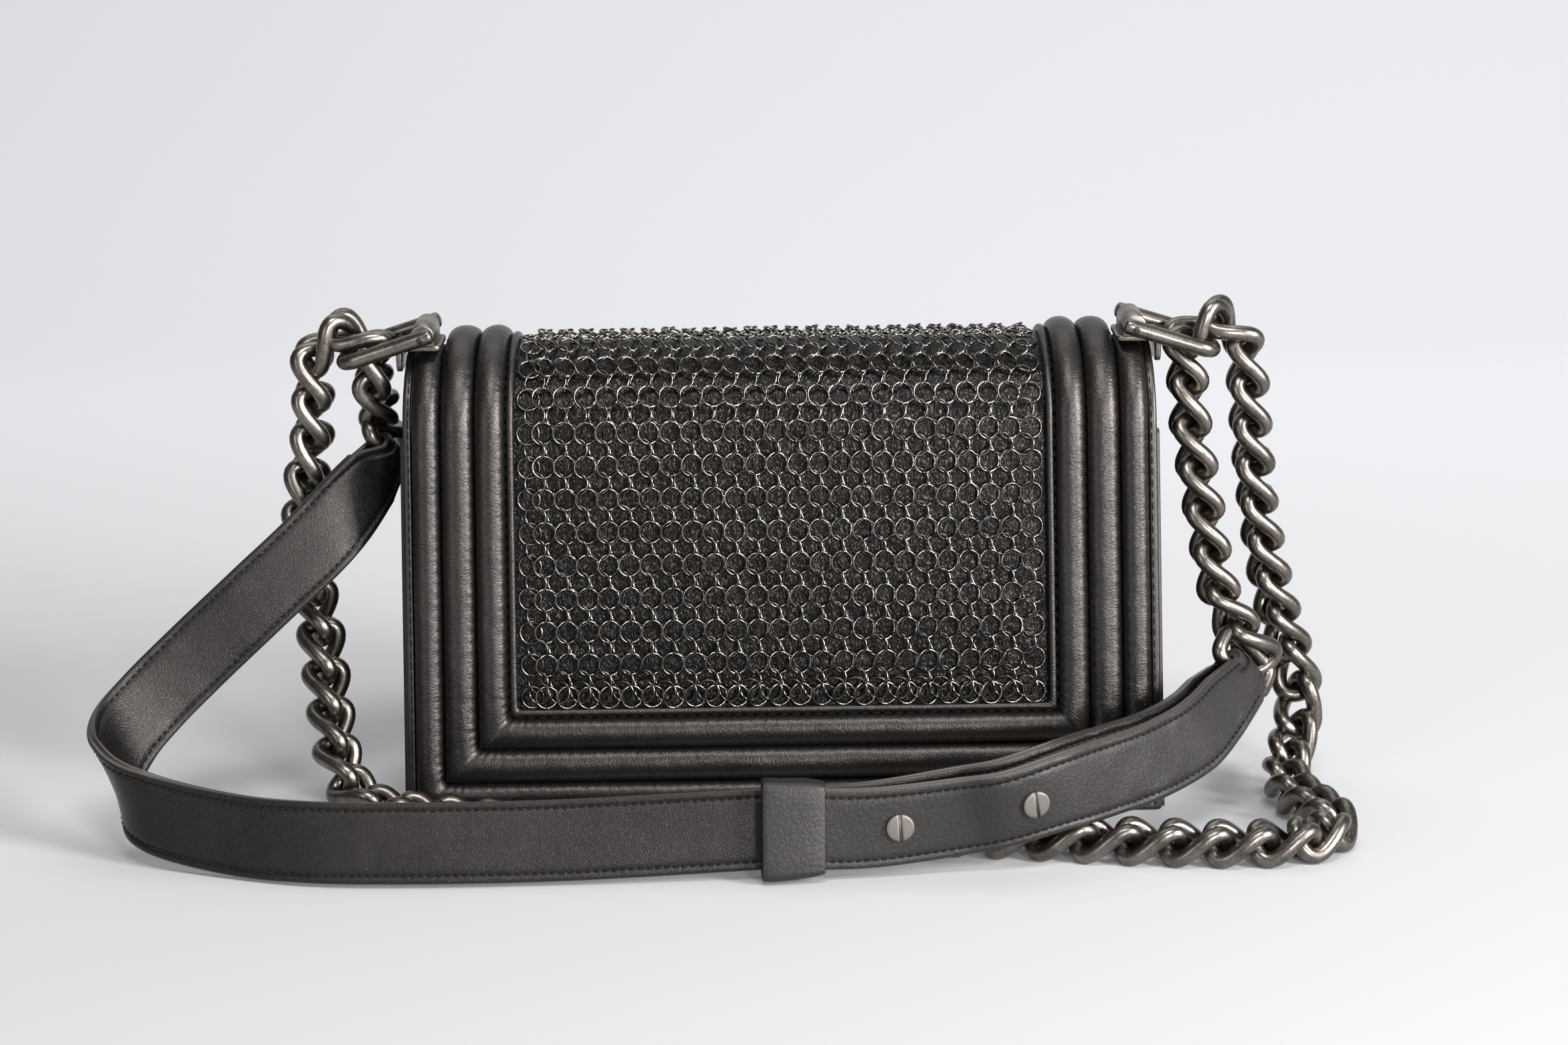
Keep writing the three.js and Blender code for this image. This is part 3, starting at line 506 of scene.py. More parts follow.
def creased_leather(name, low, high, rim, size, relief, metallic, roughness):
    """Strap leather: soft pebbles parted by creases on its faces, darker in the creases as painted shade, and
    a paler edge that is a painted highlight.
    """
    finish = Finish(name, Metallic=metallic, Specular_IOR_Level=0.45)
    place = finish.grain()
    bent = finish.bent(place, 0.5 / size, 1.1 * size)
    pebbles = finish.cells(bent, 1.0 / size, "DISTANCE_TO_EDGE")
    creases = finish.ramp(pebbles, (0.0, 0.0), (0.16, 0.6), (0.55, 1.0))
    fine = finish.noise(place, 2.2 / size, 4.0, 0.62)
    patches = finish.noise(place, 0.05, 3.0)
    depth = finish.node("ShaderNodeSeparateXYZ", None, {0: place}, "Z")
    face = finish.node("ShaderNodeMath", {"operation": "ABSOLUTE"}, {0: depth})
    face = finish.node("ShaderNodeMapRange", None, {0: face, 1: 2.3, 2: 2.9})
    # Darker along the creases, which is painted shade in them; the fine noise and the patches vary the colour
    # at random.
    shade = (0.7 + 0.3 * creases) * (0.3 + 0.8 * fine) * (0.6 + 0.6 * patches)
    # The rim colour on the strap's edges is a painted highlight.
    finish.feed("Base Color", finish.blend(face, rim, finish.blend(shade, low, high)))
    finish.feed("Roughness", roughness + 0.2 * (fine - 0.5) + 0.1 * (patches - 0.5))
    finish.relief(face * (0.5 * creases + 0.8 * fine), relief)
    return finish.material


def worn_metal(name, low, high, roughness):
    """Dark plated metal, worn lighter in soft patches with faint scratches."""
    finish = Finish(name, Metallic=1.0)
    place = finish.grain()
    patches = finish.noise(place, 0.16, 4.0, 0.6, 0.6)
    specks = finish.noise(place, 1.3, 4.0, 0.62)
    scratches = finish.noise(finish.scaled(place, 0.4, 3.0, 3.0), 1.8, 2.0)
    wear = finish.ramp(0.65 * patches + 0.4 * specks, (0.36, 0.0), (0.68, 1.0))
    finish.feed("Base Color", finish.blend(wear, low, high))
    finish.feed("Roughness", roughness + 0.2 * (specks - 0.5) - 0.08 * (wear - 0.5))
    finish.relief(0.7 * specks + 0.3 * scratches, 0.02)
    return finish.material


def brushed_metal(name, shade):
    finish = Finish(name, Metallic=1.0)
    place = finish.grain()
    lines = finish.noise(finish.scaled(place, 14.0, 0.6, 1.0), 1.0, 3.0)
    spots = finish.noise(place, 2.2, 4.0, 0.7)
    finish.feed("Base Color", finish.blend(0.6 * lines + 0.4 * spots, shaded(shade, 0.62), shade))
    finish.feed("Roughness", 0.48 + 0.18 * spots)
    finish.relief(lines, 0.01)
    return finish.material


def sewing_thread(name, shade):
    finish = Finish(name, Specular_IOR_Level=0.2)
    place = finish.grain()
    strands = finish.noise(finish.scaled(place, 6.0, 6.0, 6.0), 1.0, 2.0)
    finish.feed("Base Color", finish.blend(strands, shade, shaded(shade, 2.4)))
    finish.feed("Roughness", 0.7 + 0.2 * strands)
    finish.relief(strands, 0.03)
    return finish.material


def studio_paper(name, shade):
    """Matt paper that glows, as painted light, more where it rises and towards the right, so that it stays
    pale up to the top.
    """
    finish = Finish(name, Specular_IOR_Level=0.1, Emission_Strength=1.0)
    place = finish.node("ShaderNodeTexCoord", None, None, "Object")
    cloud = finish.noise(place, 1.4, 2.0)
    fibre = finish.noise(place, 300.0, 2.0)
    finish.feed("Base Color", finish.blend(cloud, shaded(shade, 0.97), shade))
    finish.feed("Roughness", 0.7 + 0.1 * fibre)
    away = finish.node("ShaderNodeSeparateXYZ", None, {0: place}, "Y")
    glow = finish.node("ShaderNodeMapRange", {"interpolation_type": "SMOOTHSTEP"}, {0: away, 1: -0.3, 2: 0.9})
    across = finish.node("ShaderNodeSeparateXYZ", None, {0: place}, "X")
    painted_light_slant = finish.node("ShaderNodeMapRange", None, {0: across, 1: -0.9, 2: 0.9, 3: 0.84, 4: 1.0})
    # Painted light: the paper's glow grows towards the back where it rises, and from left to right.
    finish.feed("Emission Color", finish.blend(glow * painted_light_slant, (0.0, 0.0, 0.0), (0.5, 0.5, 0.52)))
    return finish.material


FINISH = {}


def mix_finishes(colours):
    """Makes every material once, from the colours of the panel."""
    bag = (tuple(colours.bag_dark), tuple(colours.bag_light))
    strap = (tuple(colours.strap_dark), tuple(colours.strap_light))
    metal = (tuple(colours.metal_dark), tuple(colours.metal_light))
    # The bound edges take a paler grain colour, which is a painted highlight along their beaded edge.
    binding_highlight = shaded(bag[1], 1.2)
    # The strap's pale rim colour is a painted highlight on its edges.
    rim = shaded(strap[1], 2.6)
    FINISH["roll"] = pebbled_leather("bag_leather_rolls", *bag, metallic=0.9, roughness=0.33,
                                     size=0.45, reach=0.5, relief=0.11)
    FINISH["edge"] = pebbled_leather("bag_leather_edges", bag[0], binding_highlight, metallic=0.85, roughness=0.36,
                                     size=0.5, reach=0.8, relief=0.05)
    FINISH["panel"] = pebbled_leather("bag_leather_panels", *bag, metallic=0.55, roughness=0.48,
                                      size=0.6, reach=0.9, relief=0.04)
    FINISH["crinkle"] = crinkled_leather("bag_leather_crinkled", *bag)
    FINISH["strap"] = creased_leather("strap_leather", *strap, rim, size=0.7, relief=0.1,
                                      metallic=0.8, roughness=0.3)
    FINISH["tail"] = creased_leather("strap_leather_pebbled", *strap, rim, size=1.6, relief=0.1,
                                     metallic=0.5, roughness=0.48)
    for key, name, low, high, roughness in (
        ("metal", "dark_metal", 1.0, 1.0, 0.32),
        ("ring", "ring_metal", 0.6, 1.1, 0.18),
        # The pin's metal is made very dark. This is painted shade, so that the pin's ends look like dark
        # holes in the bail's arms.
        ("pin", "pin_metal_painted_hole_shade", 0.3, 0.3, 0.4),
        ("lug", "satin_metal", 1.6, 1.2, 0.38),
    ):
        FINISH[key] = worn_metal(name, shaded(metal[0], low), shaded(metal[1], high), roughness)
    FINISH["screw"] = brushed_metal("screw_metal", tuple(colours.screw))
    FINISH["thread"] = sewing_thread("thread", tuple(colours.thread))
    FINISH["paper"] = studio_paper("studio_paper", tuple(colours.floor))


# Meshes


class Skin:
    """Collects surfaces for one mesh: points in millimetres, faces, and a grain place for every point."""

    def __init__(self):
        self.points = []
        self.grain = []
        self.faces = []
        self.count = 0

    def _add(self, points, grain):
        points = np.asarray(points, float).reshape(-1, 3)
        self.points.append(points)
        self.grain.append(points if grain is None else np.asarray(grain, float).reshape(-1, 3))
        start = self.count
        self.count += len(points)
        return start

    def tube(self, rows, loop=False, grain=None):
        """Skins rings of points, given as an array of rings, as a loop or with closed ends."""
        rings, sides = rows.shape[:2]
        index = self._add(rows, grain) + np.arange(rings * sides).reshape(rings, sides)
        here = index if loop else index[:-1]
        there = np.roll(index, -1, axis=0) if loop else index[1:]
        quads = np.stack([here, np.roll(here, -1, 1), np.roll(there, -1, 1), there], -1)
        self.faces.extend(quads.reshape(-1, 4).tolist())
        if not loop:
            self.faces.append(index[0][::-1].tolist())
            self.faces.append(index[-1].tolist())

    def slab(self, top, bottom, grain=None):
        """A sheet with two faces, given as two grids of the same shape, and its four edges."""
        rows, columns = top.shape[:2]
        upper = self._add(top, grain) + np.arange(rows * columns).reshape(rows, columns)
        lower = self._add(bottom, grain) + np.arange(rows * columns).reshape(rows, columns)
        for index, flip in ((upper, False), (lower, True)):
            quads = np.stack([index[:-1, :-1], index[:-1, 1:], index[1:, 1:], index[1:, :-1]], -1)
            quads = quads.reshape(-1, 4)
            self.faces.extend((quads[:, ::-1] if flip else quads).tolist())
        rim = np.concatenate([np.arange(columns), columns * np.arange(1, rows) + columns - 1,
                              columns * (rows - 1) + np.arange(columns - 2, -1, -1),
                              columns * np.arange(rows - 2, 0, -1)])
        ahead = np.roll(rim, -1)
        flat_up = upper.reshape(-1)
        flat_low = lower.reshape(-1)
        walls = np.stack([flat_up[ahead], flat_up[rim], flat_low[rim], flat_low[ahead]], -1)
        self.faces.extend(walls.tolist())

    def scatter(self, shape, centres, axes):
        """Copies of one shape, each on its own centre and three axes."""
        points, faces = shape
        placed = centres[:, None, :] + np.einsum("kc,ncd->nkd", points, axes)
        local = np.broadcast_to(points, placed.shape) + GRAIN_SHIFT * np.arange(len(centres))[:, None, None]
        start = self._add(placed, local)
        for n in range(len(centres)):
            shift = start + n * len(points)
            self.faces.extend([[shift + i for i in face] for face in faces])

    def piece(self, name, finish, replaces=()):
        mesh = bpy.data.meshes.new(name)
        points = np.concatenate(self.points) * MM
        mesh.from_pydata(points.tolist(), [], self.faces)
        attribute = mesh.attributes.new(GRAIN, "FLOAT_VECTOR", "POINT")
        attribute.data.foreach_set("vector", np.concatenate(self.grain).astype(np.float32).ravel())
        mesh.materials.append(FINISH[finish])
        mesh.polygons.foreach_set("use_smooth", [True] * len(mesh.polygons))
        mesh.update()
        made = bpy.data.objects.new(name, mesh)
        bpy.context.scene.collection.objects.link(made)
        outward(made)
        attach(made, BODY)
        if replaces:
            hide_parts(*replaces)
        return made


def outward(made):
    """Turns every closed shell of a mesh the right way out."""
    work = bmesh.new()
    work.from_mesh(made.data)
    bmesh.ops.recalc_face_normals(work, faces=work.faces)
    work.to_mesh(made.data)
    work.free()


def unit(vectors):
    return vectors / np.linalg.norm(vectors, axis=-1, keepdims=True)


def square_to(vectors, along):
    return unit(vectors - np.sum(vectors * along, -1, keepdims=True) * along)


def turns(count):
    """Angles of equal steps round a circle."""
    return 2 * np.pi * np.arange(count) / count


def run_length(line):
    """How far each point lies along a line."""
    return np.concatenate([[0.0], np.cumsum(np.linalg.norm(np.diff(line, axis=0), axis=1))])


NOISE_SIZE = 64


def soft_noise(u, v, seed):
    """Smooth waves between -1 and 1 on a plane, with one feature to each unit."""
    table = np.random.RandomState(seed).uniform(-1, 1, (NOISE_SIZE, NOISE_SIZE))
    i = np.floor(u).astype(int)
    j = np.floor(v).astype(int)
    fu = u - i
    fv = v - j
    fu = fu * fu * (3 - 2 * fu)
    fv = fv * fv * (3 - 2 * fv)
    next_i = (i + 1) % NOISE_SIZE
    next_j = (j + 1) % NOISE_SIZE
    i = i % NOISE_SIZE
    j = j % NOISE_SIZE
    a = table[i, j] * (1 - fu) + table[next_i, j] * fu
    b = table[i, next_j] * (1 - fu) + table[next_i, next_j] * fu
    return a * (1 - fv) + b * fv


def ring_shape(outline, normals, radius, sides):
    """A closed wire along an outline, as points and faces."""
    along = unit(np.roll(outline, -1, 0) - np.roll(outline, 1, 0))
    out = square_to(normals, along)
    side = np.cross(along, out)
    angle = turns(sides)
    points = (outline[:, None] + radius * np.cos(angle)[None, :, None] * out[:, None]
              + radius * np.sin(angle)[None, :, None] * side[:, None])
    index = np.arange(len(outline) * sides).reshape(-1, sides)
    there = np.roll(index, -1, 0)
    quads = np.stack([index, np.roll(index, -1, 1), np.roll(there, -1, 1), there], -1).reshape(-1, 4)
    return points.reshape(-1, 3), quads.tolist()


# A stitch: share of the pitch that shows, thickness left at its ends, and how deep they dip
STITCH_SHARE = 0.74
STITCH_END = 0.45
STITCH_DIP = 0.9


def stitch_shape(long, thick):
    """One stitch: a short thread that dips into the leather at both ends."""
    steps = 5
    sides = 6
    angle = turns(sides)
    rings = []
    for t in np.linspace(-1, 1, steps):
        slim = thick * (STITCH_END + (1 - STITCH_END) * (1 - t * t))
        dip = -STITCH_DIP * thick * t * t
        ring = (np.full(sides, long / 2 * t), slim * np.cos(angle), dip + slim * np.sin(angle))
        rings.append(np.stack(ring, -1))
    index = np.arange(steps * sides).reshape(steps, sides)
    quads = np.stack([index[:-1], np.roll(index[:-1], -1, 1), np.roll(index[1:], -1, 1), index[1:]], -1)
    faces = quads.reshape(-1, 4).tolist() + [index[0][::-1].tolist(), index[-1].tolist()]
    return np.concatenate(rings), faces


def sew(skin, line, normal, pitch, thick, loop=False):
    """Stitches along a line of points, spaced evenly."""
    ends = np.concatenate([line, line[:1]]) if loop else line
    tops = np.concatenate([normal, normal[:1]]) if loop else normal
    run = run_length(ends)
    count = max(int(round(run[-1] / pitch)), 1)
    stops = (np.arange(count) + 0.5) * run[-1] / count

    def along(values, places):
        return np.stack([np.interp(places, run, values[:, k]) for k in range(3)], -1)

    reach = 0.3 * pitch
    centres = along(ends, stops)
    way = unit(along(ends, np.minimum(stops + reach, run[-1])) - along(ends, np.maximum(stops - reach, 0)))
    up = square_to(along(tops, stops), way)
    axes = np.stack([way, np.cross(up, way), up], 1)
    skin.scatter(stitch_shape(STITCH_SHARE * pitch, thick), centres, axes)


def catmull(points, t):
    """A smooth curve through points, with the parameter shared equally between them."""
    points = np.asarray(points, float)
    last = len(points) - 1
    place = np.clip(np.asarray(t, float) * last, 0, last)
    i = np.minimum(place.astype(int), last - 1)
    share = (place - i)[:, None]
    padded = np.concatenate([2 * points[:1] - points[1:2], points, 2 * points[-1:] - points[-2:-1]])
    p0, p1, p2, p3 = (padded[i + k] for k in range(4))
    d0, d1, d2 = (np.sqrt(np.linalg.norm(b - a, axis=1))[:, None] for a, b in ((p0, p1), (p1, p2), (p2, p3)))
    close = 1e-4
    d1 = np.where(d1 < close, 1.0, d1)
    d0 = np.where(d0 < close, d1, d0)
    d2 = np.where(d2 < close, d1, d2)
    m1 = ((p1 - p0) / d0 - (p2 - p0) / (d0 + d1) + (p2 - p1) / d1) * d1
    m2 = ((p2 - p1) / d1 - (p3 - p1) / (d1 + d2) + (p3 - p2) / d2) * d1
    return (p1 + m1 * share + (3 * (p2 - p1) - 2 * m1 - m2) * share ** 2
            + (2 * (p1 - p2) + m1 + m2) * share ** 3)


# The cover as a surface


class Cover:
    """x across, s along the side profile from the back's lower edge, h out of the leather."""

    def __init__(self, sizes):
        self.half = sizes.half_width / MM
        self.height = sizes.height / MM
        self.radius = sizes.dome / MM
        self.face = sizes.depth / MM
        self.roll = sizes.roll / MM
        self.stitch = sizes.stitch / MM
        self.dome_z = self.height - self.radius
        rise = self.dome_z - SKIRT_Z
        away = math.hypot(self.face, rise)
        self.lean = math.atan2(self.face, rise) - math.asin(self.radius / away)
        self.straight = math.sqrt(away ** 2 - self.radius ** 2)
        self.arc = self.radius * (math.pi - 2 * self.lean)
        self.length = 2 * self.straight + self.arc

    def side(self, s):
        back = s <= self.length / 2
        t = np.where(back, s, self.length - s)
        round_top = t > self.straight
        angle = math.pi - self.lean - (t - self.straight) / self.radius
        ny = np.where(round_top, np.cos(angle), -math.cos(self.lean))
        nz = np.where(round_top, np.sin(angle), math.sin(self.lean))
        y = np.where(round_top, self.radius * ny, -self.face + t * math.sin(self.lean))
        z = np.where(round_top, self.dome_z + self.radius * nz, SKIRT_Z + t * math.cos(self.lean))
        turn = np.where(back, 1.0, -1.0)
        return y * turn, z, ny * turn, nz

    def taper(self, z):
        return 1 - TOP_TAPER * np.clip(z / self.height, 0, 1)

    def point(self, x, s, h):
        x, s, h = np.broadcast_arrays(*(np.asarray(v, float) for v in (x, s, h)))
        y, z, ny, nz = self.side(s)
        return np.stack([x * self.taper(z), y + h * ny, z + h * nz], -1)

    def normal(self, s):
        _, _, ny, nz = self.side(np.asarray(s, float))
        return np.stack([np.zeros_like(ny), ny, nz], -1)

    def up_to(self, z):
        return (z - SKIRT_Z) / math.cos(self.lean)


class FramePath:
    """The way round the frame: a ring, or open at the top of the back or front.

    Its stations are the same in number and order at any inset.
    """

    def __init__(self, cover, kind, inner, outer, step, stop=None):
        self.cover = cover
        self.kind = kind
        self.outer = outer
        self.plain = inner + MITRE_RUN
        span = cover.half - outer - CORNER
        self.across = np.linspace(-span, span, int(2 * span / step) + 1)
        low = outer + CORNER
        high = cover.length - low
        if kind == "back":
            high = stop
        if kind == "front":
            low = stop
        self.up = np.linspace(low, high, int((high - low) / step) + 1)

    def _bottom(self, inset):
        limit = self.cover.half - self.plain
        end = self.cover.half - inset - CORNER
        full = self.cover.half - self.outer - CORNER
        far = np.abs(self.across)
        moved = limit + (far - limit) * (end - limit) / (full - limit)
        return np.sign(self.across) * np.where(far > limit, moved, far)

    def _side(self, inset):
        s = self.up
        for mirror in (False, True):
            if self.kind == ("back" if mirror else "front"):
                continue
            far = self.cover.length - s if mirror else s
            limit = self.plain
            start = inset + CORNER
            full = self.outer + CORNER
            moved = limit - (limit - far) * (limit - start) / (limit - full)
            far = np.where(far < limit, moved, far)
            s = self.cover.length - far if mirror else far
        return s

    def _corner(self, side, front, inset, turn):
        angle = np.radians(np.linspace(turn, turn + 90, CORNER_STEPS + 2)[1:-1])
        middle_x = side * (self.cover.half - inset - CORNER)
        low = inset + CORNER
        middle_s = self.cover.length - low if front else low
        return middle_x + CORNER * np.cos(angle), middle_s + CORNER * np.sin(angle)

    def at(self, inset):
        """x and s of every station at an inset."""
        cover = self.cover
        half = cover.half - inset
        bottom = self._bottom(inset)
        up = self._side(inset)
        back = (bottom, np.full_like(bottom, inset))
        front = (bottom[::-1], np.full_like(bottom, cover.length - inset))
        right = (np.full_like(up, half), up)
        left = (np.full_like(up, -half), up[::-1])
        right_back = self._corner(1, False, inset, -90)
        right_front = self._corner(1, True, inset, 0)
        left_front = self._corner(-1, True, inset, 90)
        left_back = self._corner(-1, False, inset, 180)
        if self.kind == "ring":
            runs = [back, right_back, right, right_front, front, left_front, left, left_back]
        elif self.kind == "back":
            runs = [left, left_back, back, right_back, right]
        else:
            runs = [right, right_front, front, left_front, left]
        return tuple(np.concatenate([run[k] for run in runs]) for k in (0, 1))

    @property
    def loop(self):
        return self.kind == "ring"

    def line(self, inset, h):
        x, s = self.at(inset)
        return self.cover.point(x, s, h), self.cover.normal(s)


def strip(skin, path, section, limit, seed, pucker, lumps):
    """A strip of padding or trim along the frame, from a section of insets and heights."""
    insets = np.array([p[0] for p in section])
    heights = np.array([p[1] for p in section])
    middle = (insets.min() + insets.max()) / 2
    half = (insets.max() - insets.min()) / 2
    run = run_length(path.line(middle, 0.0)[0])
    count = max(round(run[-1] / path.cover.stitch), 1)
    wave = 0.5 + 0.5 * np.cos(2 * np.pi * run * count / run[-1])
    high = heights.max()
    seam_reach = 1.5
    seam_height = 0.5
    grain_apart = 40.0
    rows = []
    grain = []
    for inset, h in zip(insets, heights):
        x, s = path.at(inset)
        place = np.full_like(run, inset)
        tall = np.full(len(x), h)
        if limit is not None and h > 0:
            tall = h * np.minimum(limit(s), high) / high
        if h > seam_height:
            off = abs(inset - middle) / half
            edge = np.exp(-((1 - off) * half / seam_reach) ** 2)
            broad = soft_noise(run / 7.0, place / 5.0, seed)
            small = soft_noise(run / 2.3, place / 3.0, seed + 1)
            tall = tall - pucker * edge * wave + lumps * (broad + 0.6 * small)
        rows.append(path.cover.point(x, s, tall))
        grain.append(np.stack([run, place, np.full_like(run, h + grain_apart * seed)], -1))
    skin.tube(np.stack(rows, 1), path.loop, np.stack(grain, 1))


def roll_section(roll, base, top):
    start = roll[0] - GAP / 2
    end = roll[1] + GAP / 2
    angle = np.linspace(0, np.pi, ROLL_POINTS)
    inset = (start + end) / 2 - (end - start) / 2 * np.cos(angle)
    return list(zip(inset, base + (top - base) * np.sin(angle) ** ROLL_SHAPE))


# Body of the bag


class BAG_OT_panels(bpy.types.Operator):
    """Builds the leather panels, the flap, the gussets and the base"""

    bl_idname = "bag.panels"
    bl_label = "Panels"

    def execute(self, context):
        cover = Cover(context.scene.bag_body)
        inside = cover.half - BINDING_END - GAP
        narrow = cover.half - MIDDLE_ROLL[0]
        shoulder = cover.straight + cover.radius * math.radians(SHOULDER[-1][0])
        ends = (BINDING_END + GAP, cover.length - MIDDLE_ROLL[0])
        nodes = ("back_panel", "flap")
        self.sheet(cover, "back_and_flap_leather", nodes, (inside, shoulder, narrow), ends, 0.0)
        ends = (cover.length - cover.up_to(FRONT_TOP), cover.length - BINDING_END - GAP)
        self.sheet(cover, "front_leather", ("front_panel",), (inside, 0.0, inside), ends, -FRONT_STEP)
        self.gussets(cover)
        self.base()
        return {"FINISHED"}

    def sheet(self, cover, name, nodes, halves, ends, face):
        """A panel whose face is crinkled inside the frame and smooth below the padding."""
        wide, shoulder, narrow = halves
        x = np.linspace(-1, 1, int(2 * wide / SHEET_STEP))
        s = np.linspace(ends[0], ends[1], int((ends[1] - ends[0]) / SHEET_STEP))
        grid_x, grid_s = np.meshgrid(x, s)
        grid_x = grid_x * np.where(grid_s < shoulder, wide, narrow)
        from_side = cover.half - PIPING_AT - np.abs(grid_x)
        from_end = np.minimum(grid_s, cover.length - grid_s) - PIPING_AT
        fade = 3.0
        window = np.clip(np.minimum(from_side, from_end) / fade, 0, 1)
        u = grid_x + 100.0
        v = grid_s + 10.0
        bend_size = 4.0
        fold_size = 2.1
        bend = 1.6 * soft_noise(u / bend_size, v / bend_size, 3)
        folds = 1 - np.abs(soft_noise((u + bend) / fold_size, (v - bend) / fold_size, 5))
        crumple = 0.18 * (folds ** 3 - 0.35) + 0.14 * soft_noise(u / 1.1, v / 1.6, 9)
        top = cover.point(grid_x, grid_s, face + window * crumple)
        bottom = cover.point(grid_x, grid_s, face - LEATHER)
        skin = Skin()
        skin.slab(top, bottom)
        skin.piece(name, "crinkle" if face == 0 else "panel", nodes)

    def gussets(self, cover):
        """The two ends, each dented along its middle and more so towards the top."""
        rows = 60
        columns = 34
        grid_share, grid_z = np.meshgrid(np.linspace(0, 1, columns), np.linspace(SKIRT_Z, GUSSET_TOP, rows))
        s = cover.up_to(grid_z[:, 0])
        back = cover.point(0 * s, s, -LEATHER - GAP)[:, 1]
        front = cover.point(0 * s, cover.length - s, -FRONT_STEP - LEATHER - GAP)[:, 1]
        y = back[:, None] + (front - back)[:, None] * grid_share
        crease = 1 - np.sqrt((2 * grid_share - 1) ** 2 + 0.004)
        dent = GUSSET_DENT * crease ** 2 * grid_z / GUSSET_TOP
        edge = np.clip(np.minimum(grid_share, 1 - grid_share) * 12, 0, 1)
        rim = GUSSET_RIM * (1 - edge)
        width = (cover.half + GUSSET_PROUD) * cover.taper(grid_z)
        for side, end in ENDS:
            waves = 0.22 * soft_noise(grid_share * 5 + 3, grid_z / 11.0, 21 + side)
            x = width - dent - edge * np.abs(waves) - rim
            outer = np.stack([side * x, y, grid_z], -1)
            inner = np.stack([side * (x - LEATHER + rim), y, grid_z], -1)
            skin = Skin()
            skin.slab(outer, inner)
            skin.piece(f"gusset_leather_{end}", "panel", [f"gusset_{end}"])

    def base(self):
        """The bottom, with its rim curled up and its inside a little uneven."""
        x = np.linspace(-BASE_HALF, BASE_HALF, 120)
        y = np.linspace(BASE_BACK, BASE_FRONT, 40)
        grid_x, grid_y = np.meshgrid(x, y)
        rim = np.minimum(BASE_HALF - np.abs(grid_x), np.minimum(grid_y - BASE_BACK, BASE_FRONT - grid_y))
        curl = 0.7 * np.exp(-(rim / 0.9) ** 2)
        uneven = 0.1 * soft_noise(grid_x / 9, grid_y / 9, 31)
        low = np.stack([grid_x, grid_y, curl], -1)
        high = np.stack([grid_x, grid_y, BASE_TOP - 0.4 * curl + uneven], -1)
        skin = Skin()
        skin.slab(high, low)
        skin.piece("base_leather", "panel", ["base_panel"])


class BAG_OT_frame(bpy.types.Operator):
    """Builds the padded rolls, the bound edges, the piping and the frame's stitches"""

    bl_idname = "bag.frame"
    bl_label = "Padded frame"

    def execute(self, context):
        cover = Cover(context.scene.bag_body)
        top = GAP + cover.roll
        shoulder_s = [cover.straight + cover.radius * math.radians(angle) for angle, _ in SHOULDER]
        shoulder_h = [height for _, height in SHOULDER]
        stop_front = cover.length - cover.up_to(FRONT_TOP)

        def pressed(s):
            return np.interp(s, shoulder_s, shoulder_h)

        threads = Skin()
        for name, roll, seed in (("roll_middle", MIDDLE_ROLL, 10), ("roll_inner", INNER_ROLL, 20)):
            path = FramePath(cover, "ring", roll[1], roll[0], FRAME_STEP)
            self.padding(name, path, roll_section(roll, GAP, top), None, seed)
            sew(threads, *path.line(roll[0] - GAP / 2, ROLL_SEAM), cover.stitch, ROLL_THREAD, True)
        for edge, stop, low, press, seed in (
            ("back", shoulder_s[-1], GAP, pressed, 30),
            ("front", stop_front, GAP - FRONT_STEP, None, 40),
        ):
            path = FramePath(cover, edge, OUTER_ROLL[1], OUTER_ROLL[0], FRAME_STEP, stop)
            self.padding(f"roll_outer_{edge}", path, roll_section(OUTER_ROLL, low, top), press, seed)
            self.binding(cover, edge, stop, press, threads)
        self.piping(cover, threads)
        threads.piece("frame_stitches", "thread")
        return {"FINISHED"}

    @staticmethod
    def padding(node, path, section, press, seed):
        skin = Skin()
        strip(skin, path, section, press, seed, PUCKER, LUMPS)
        skin.piece(f"padded_{node}", "roll", [node])

    @staticmethod
    def binding(cover, edge, stop, press, threads):
        """The bound outer edge with a groove for its stitches."""
        low = -LEATHER if edge == "back" else -FRONT_STEP - LEATHER
        high = BINDING_TOP[edge]
        section = [(0.25, low), (-0.15, low + 0.5), (-0.3, (low + high) / 2), (-0.15, high - 0.55),
                   (0.25, high - 0.12), (0.8, high), (1.3, high - 0.16), (1.75, high - 0.02),
                   (2.0, high - 0.25), (BINDING_END, low)]
        path = FramePath(cover, edge, BINDING_END, 0.0, FRAME_STEP, stop)
        skin = Skin()
        strip(skin, path, section, press, seed=90, pucker=0.0, lumps=0.04)
        skin.piece(f"bound_edge_{edge}", "edge", [f"binding_{edge}"])
        line, normal = path.line(BINDING_GROOVE, high)
        if press is not None:
            x, s = path.at(BINDING_GROOVE)
            line = cover.point(x, s, high * np.minimum(press(s), high) / high)
        sew(threads, line, normal, cover.stitch, BINDING_THREAD)

    @staticmethod
    def piping(cover, threads):
        """The thin cord inside the inner roll."""
        path = FramePath(cover, "ring", PIPING_AT + PIPING_RADIUS, PIPING_AT - PIPING_RADIUS, 1.0)
        angle = turns(14)
        insets = PIPING_AT + PIPING_RADIUS * np.cos(angle)
        heights = GAP + PIPING_RADIUS * (1 + np.sin(angle))
        skin = Skin()
        strip(skin, path, list(zip(insets, heights)), limit=None, seed=70, pucker=0.05, lumps=0.05)
        skin.piece("piping_cord", "roll", ["panel_piping"])
        beside, height = PIPING_SEAM
        sew(threads, *path.line(PIPING_AT - beside, height), cover.stitch, PIPING_THREAD, True)


# Ring mail

# First full column, the column that is sewn down beside it, and how far the linking rings stand to the left
MAIL_FIRST = -64.1
MAIL_SEWN = -68.1
MAIL_SHIFT = 2.2
